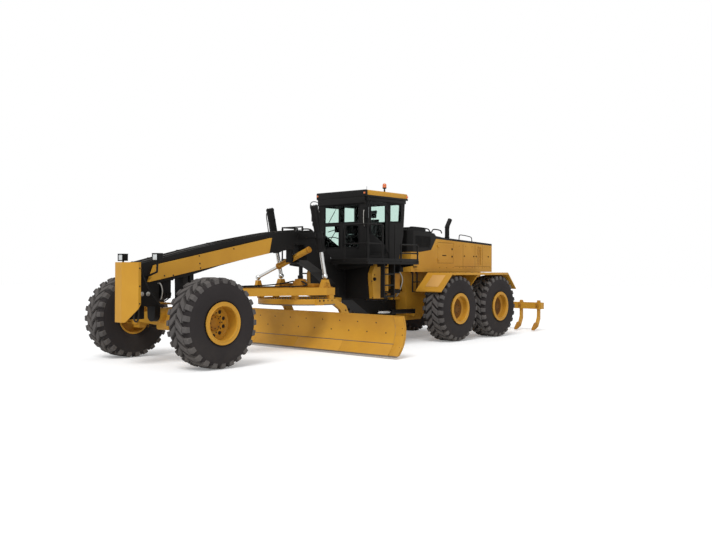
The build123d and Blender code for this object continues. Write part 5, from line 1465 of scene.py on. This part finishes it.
addPiece("engineDressing", motor, "engineGrey", "rear_frame")

# tandems, fenders and rear axle
tandem = {"x": -3.578, "z": 1.005}
for side, sideName in sides:
    bm = bmesh.new()
    addTurned(bm, [(0, 0.0005), (0.030, 0.0005), (0.030, 0.16), (0.012, 0.235), (0, 0.24)],
        (tandem["x"], side * 1.269, tandem["z"]), (0, side, 0), 40)
    for near, far in ((-3.3, -2.95), (-3.86, -4.21)):
        outline = [(near, 0.80), (near, 1.20), (far, 1.14), (far, 0.86)]
        addPlate(bm, outline, "y", *span(side, 1.268, 1.280), 0.004)
    # the tandem's covers take the darker ochre, which is painted shade
    addPiece(f"tandemCovers_{sideName}", bm, "ochrePaintedShade", f"tandem_{sideName}")
    bolts = bmesh.new()
    boltRing(bolts, (tandem["x"], side * 1.283, tandem["z"]), (0, side, 0), 0.195, 12, 0.013, 0.012)
    for x in (-2.98, -3.27, -3.89, -4.18):
        boltRow(bolts, (x, side * 1.279, 0.88), (x, side * 1.279, 1.12), 3, (0, side, 0), 0.011, 0.010)
    for y in (1.94, 1.20):
        boltRow(bolts, (-2.2, side * y, 2.099), (-5.1, side * y, 2.099), 9, (0, 0, 1), 0.012, 0.008)
    addPiece(f"tandemBolts_{sideName}", bolts, "boltSteel", f"tandem_{sideName}")
    lips = bmesh.new()
    start = Vector((-1.43, 0, 1.541))
    end = Vector((-2.05, 0, 2.100))
    near = start.lerp(end, 0.24)
    far = start.lerp(end, 0.86)
    # a pale plate on the fender's front slope: a painted reflection of the bright surroundings
    panel = plate([
        (near.x, near.z), (far.x, far.z), (far.x + 0.005, far.z + 0.006), (near.x + 0.005, near.z + 0.006),
    ], "y", *span(side, 1.36, 1.84), 0.002)
    addPiece(f"fenderSheenPanels_{sideName}", panel, "ochrePaintedSheen", f"tandem_{sideName}")
    for y in (1.112, 2.038):
        addPipe(lips, [(-1.435, side * y, 1.535), (-2.052, side * y, 2.096), (-5.248, side * y, 2.096),
            (-5.77, side * y, 1.565)], 0.010, 2, 2)
    addBlock(lips, (-5.24, side * 2.036, 2.03), (-2.06, side * 2.051, 2.103), 0.004, 2)
    addPiece(f"fenderLips_{sideName}", lips, "ochrePaint", f"tandem_{sideName}")
axleTrim = bmesh.new()
for side in (1, -1):
    boltRing(axleTrim, (tandem["x"], side * 0.973, tandem["z"]), (0, side, 0), 0.215, 14, 0.014, 0.012)
addBlock(axleTrim, (-3.98, -0.33, 0.78), (-3.18, 0.33, 1.20), 0.06, 4)
addPiece("rearAxleTrim", axleTrim, "rawCast", "rear_frame")

# ripper: tips, pins, collars and hoses
ripperTrim = {"shanks": (-1.75, -1.05, -0.35, 0.35, 1.05, 1.75)}
tips = bmesh.new()
for y in ripperTrim["shanks"]:
    addPlate(tips, [
        (-7.70, 0.315), (-7.62, 0.30), (-7.445, 0.115), (-7.43, 0.04), (-7.52, 0.035), (-7.72, 0.12), (-7.79,
            0.20),
    ], "y", y - 0.042, y + 0.042, 0.010)
    addRod(tips, (-7.70, y - 0.048, 0.235), (-7.70, y + 0.048, 0.235), 0.014, 12, 0.003)
# the ripper's tips take the darker ochre, which is painted shade
addPiece("ripperTips", tips, "ochrePaintedShade", "ripper", "dark_steel")
collars = bmesh.new()
for y in ripperTrim["shanks"]:
    addBlock(collars, (-7.97, y - 0.070, 1.005), (-7.80, y + 0.070, 1.030), 0.006, 2)
    addBlock(collars, (-7.778, y - 0.062, 0.84), (-7.755, y + 0.062, 0.99), 0.006, 2)
    addBolt(collars, (-7.755, y, 0.915), (1, 0, 0), 0.020, 0.016)
for side in (1, -1):
    boltRing(collars, (-6.06, side * 0.582, 0.90), (0, side, 0), 0.022, 3, 0.007, 0.008)
# the collars take the darker ochre, which is painted shade
addPiece("ripperCollars", collars, "ochrePaintedShade", "ripper")
ripperHoses = bmesh.new()
for side in (1, -1):
    for shift in (0.0, 0.05):
        addPipe(ripperHoses, [
            (-6.18, side * 0.30 + shift, 1.72), (-6.10, side * 0.30 + shift, 1.80), (-6.02,
                side * 0.26 + shift, 1.84),
            (-5.97, side * 0.22 + shift, 1.76),
        ], 0.014)
addPiece("ripperHoses", ripperHoses, "hoseRubber", "ripper_barrels")

# front axle: bolts and the block under its middle
axle = bmesh.new()
for side in (1, -1):
    boltRow(axle, (6.58, side * 0.42, 1.215), (6.82, side * 0.42, 1.215), 3, (0, 0, 1), 0.018, 0.014)
    boltRing(axle, (6.852, side * 1.05, 1.005), (1, 0, 0), 0.026, 3, 0.008, 0.008)
boltRing(axle, (7.002, 0, 1.12), (1, 0, 0), 0.125, 10, 0.011, 0.008)
addPiece("frontAxleBolts", axle, "boltSteel", "front_axle")
belly = bmesh.new()
addBlock(belly, (6.60, -0.24, 0.76), (6.86, 0.24, 0.96), 0.04, 4)
addPiece("frontAxleBelly", belly, "ochrePaint", "front_axle")
for side, sideName in sides:
    bm = bmesh.new()
    boltRing(bm, (6.70, side * 1.30, 1.194), (0, 0, 1), 0.082, 6, 0.010, 0.005)
    boltRow(bm, (6.50, side * 1.30, 0.850), (6.62, side * 1.30, 0.850), 2, (0, 0, 1), 0.012, 0.010)
    addPiece(f"knuckleBolts_{sideName}", bm, "boltSteel", f"knuckle_{sideName}")
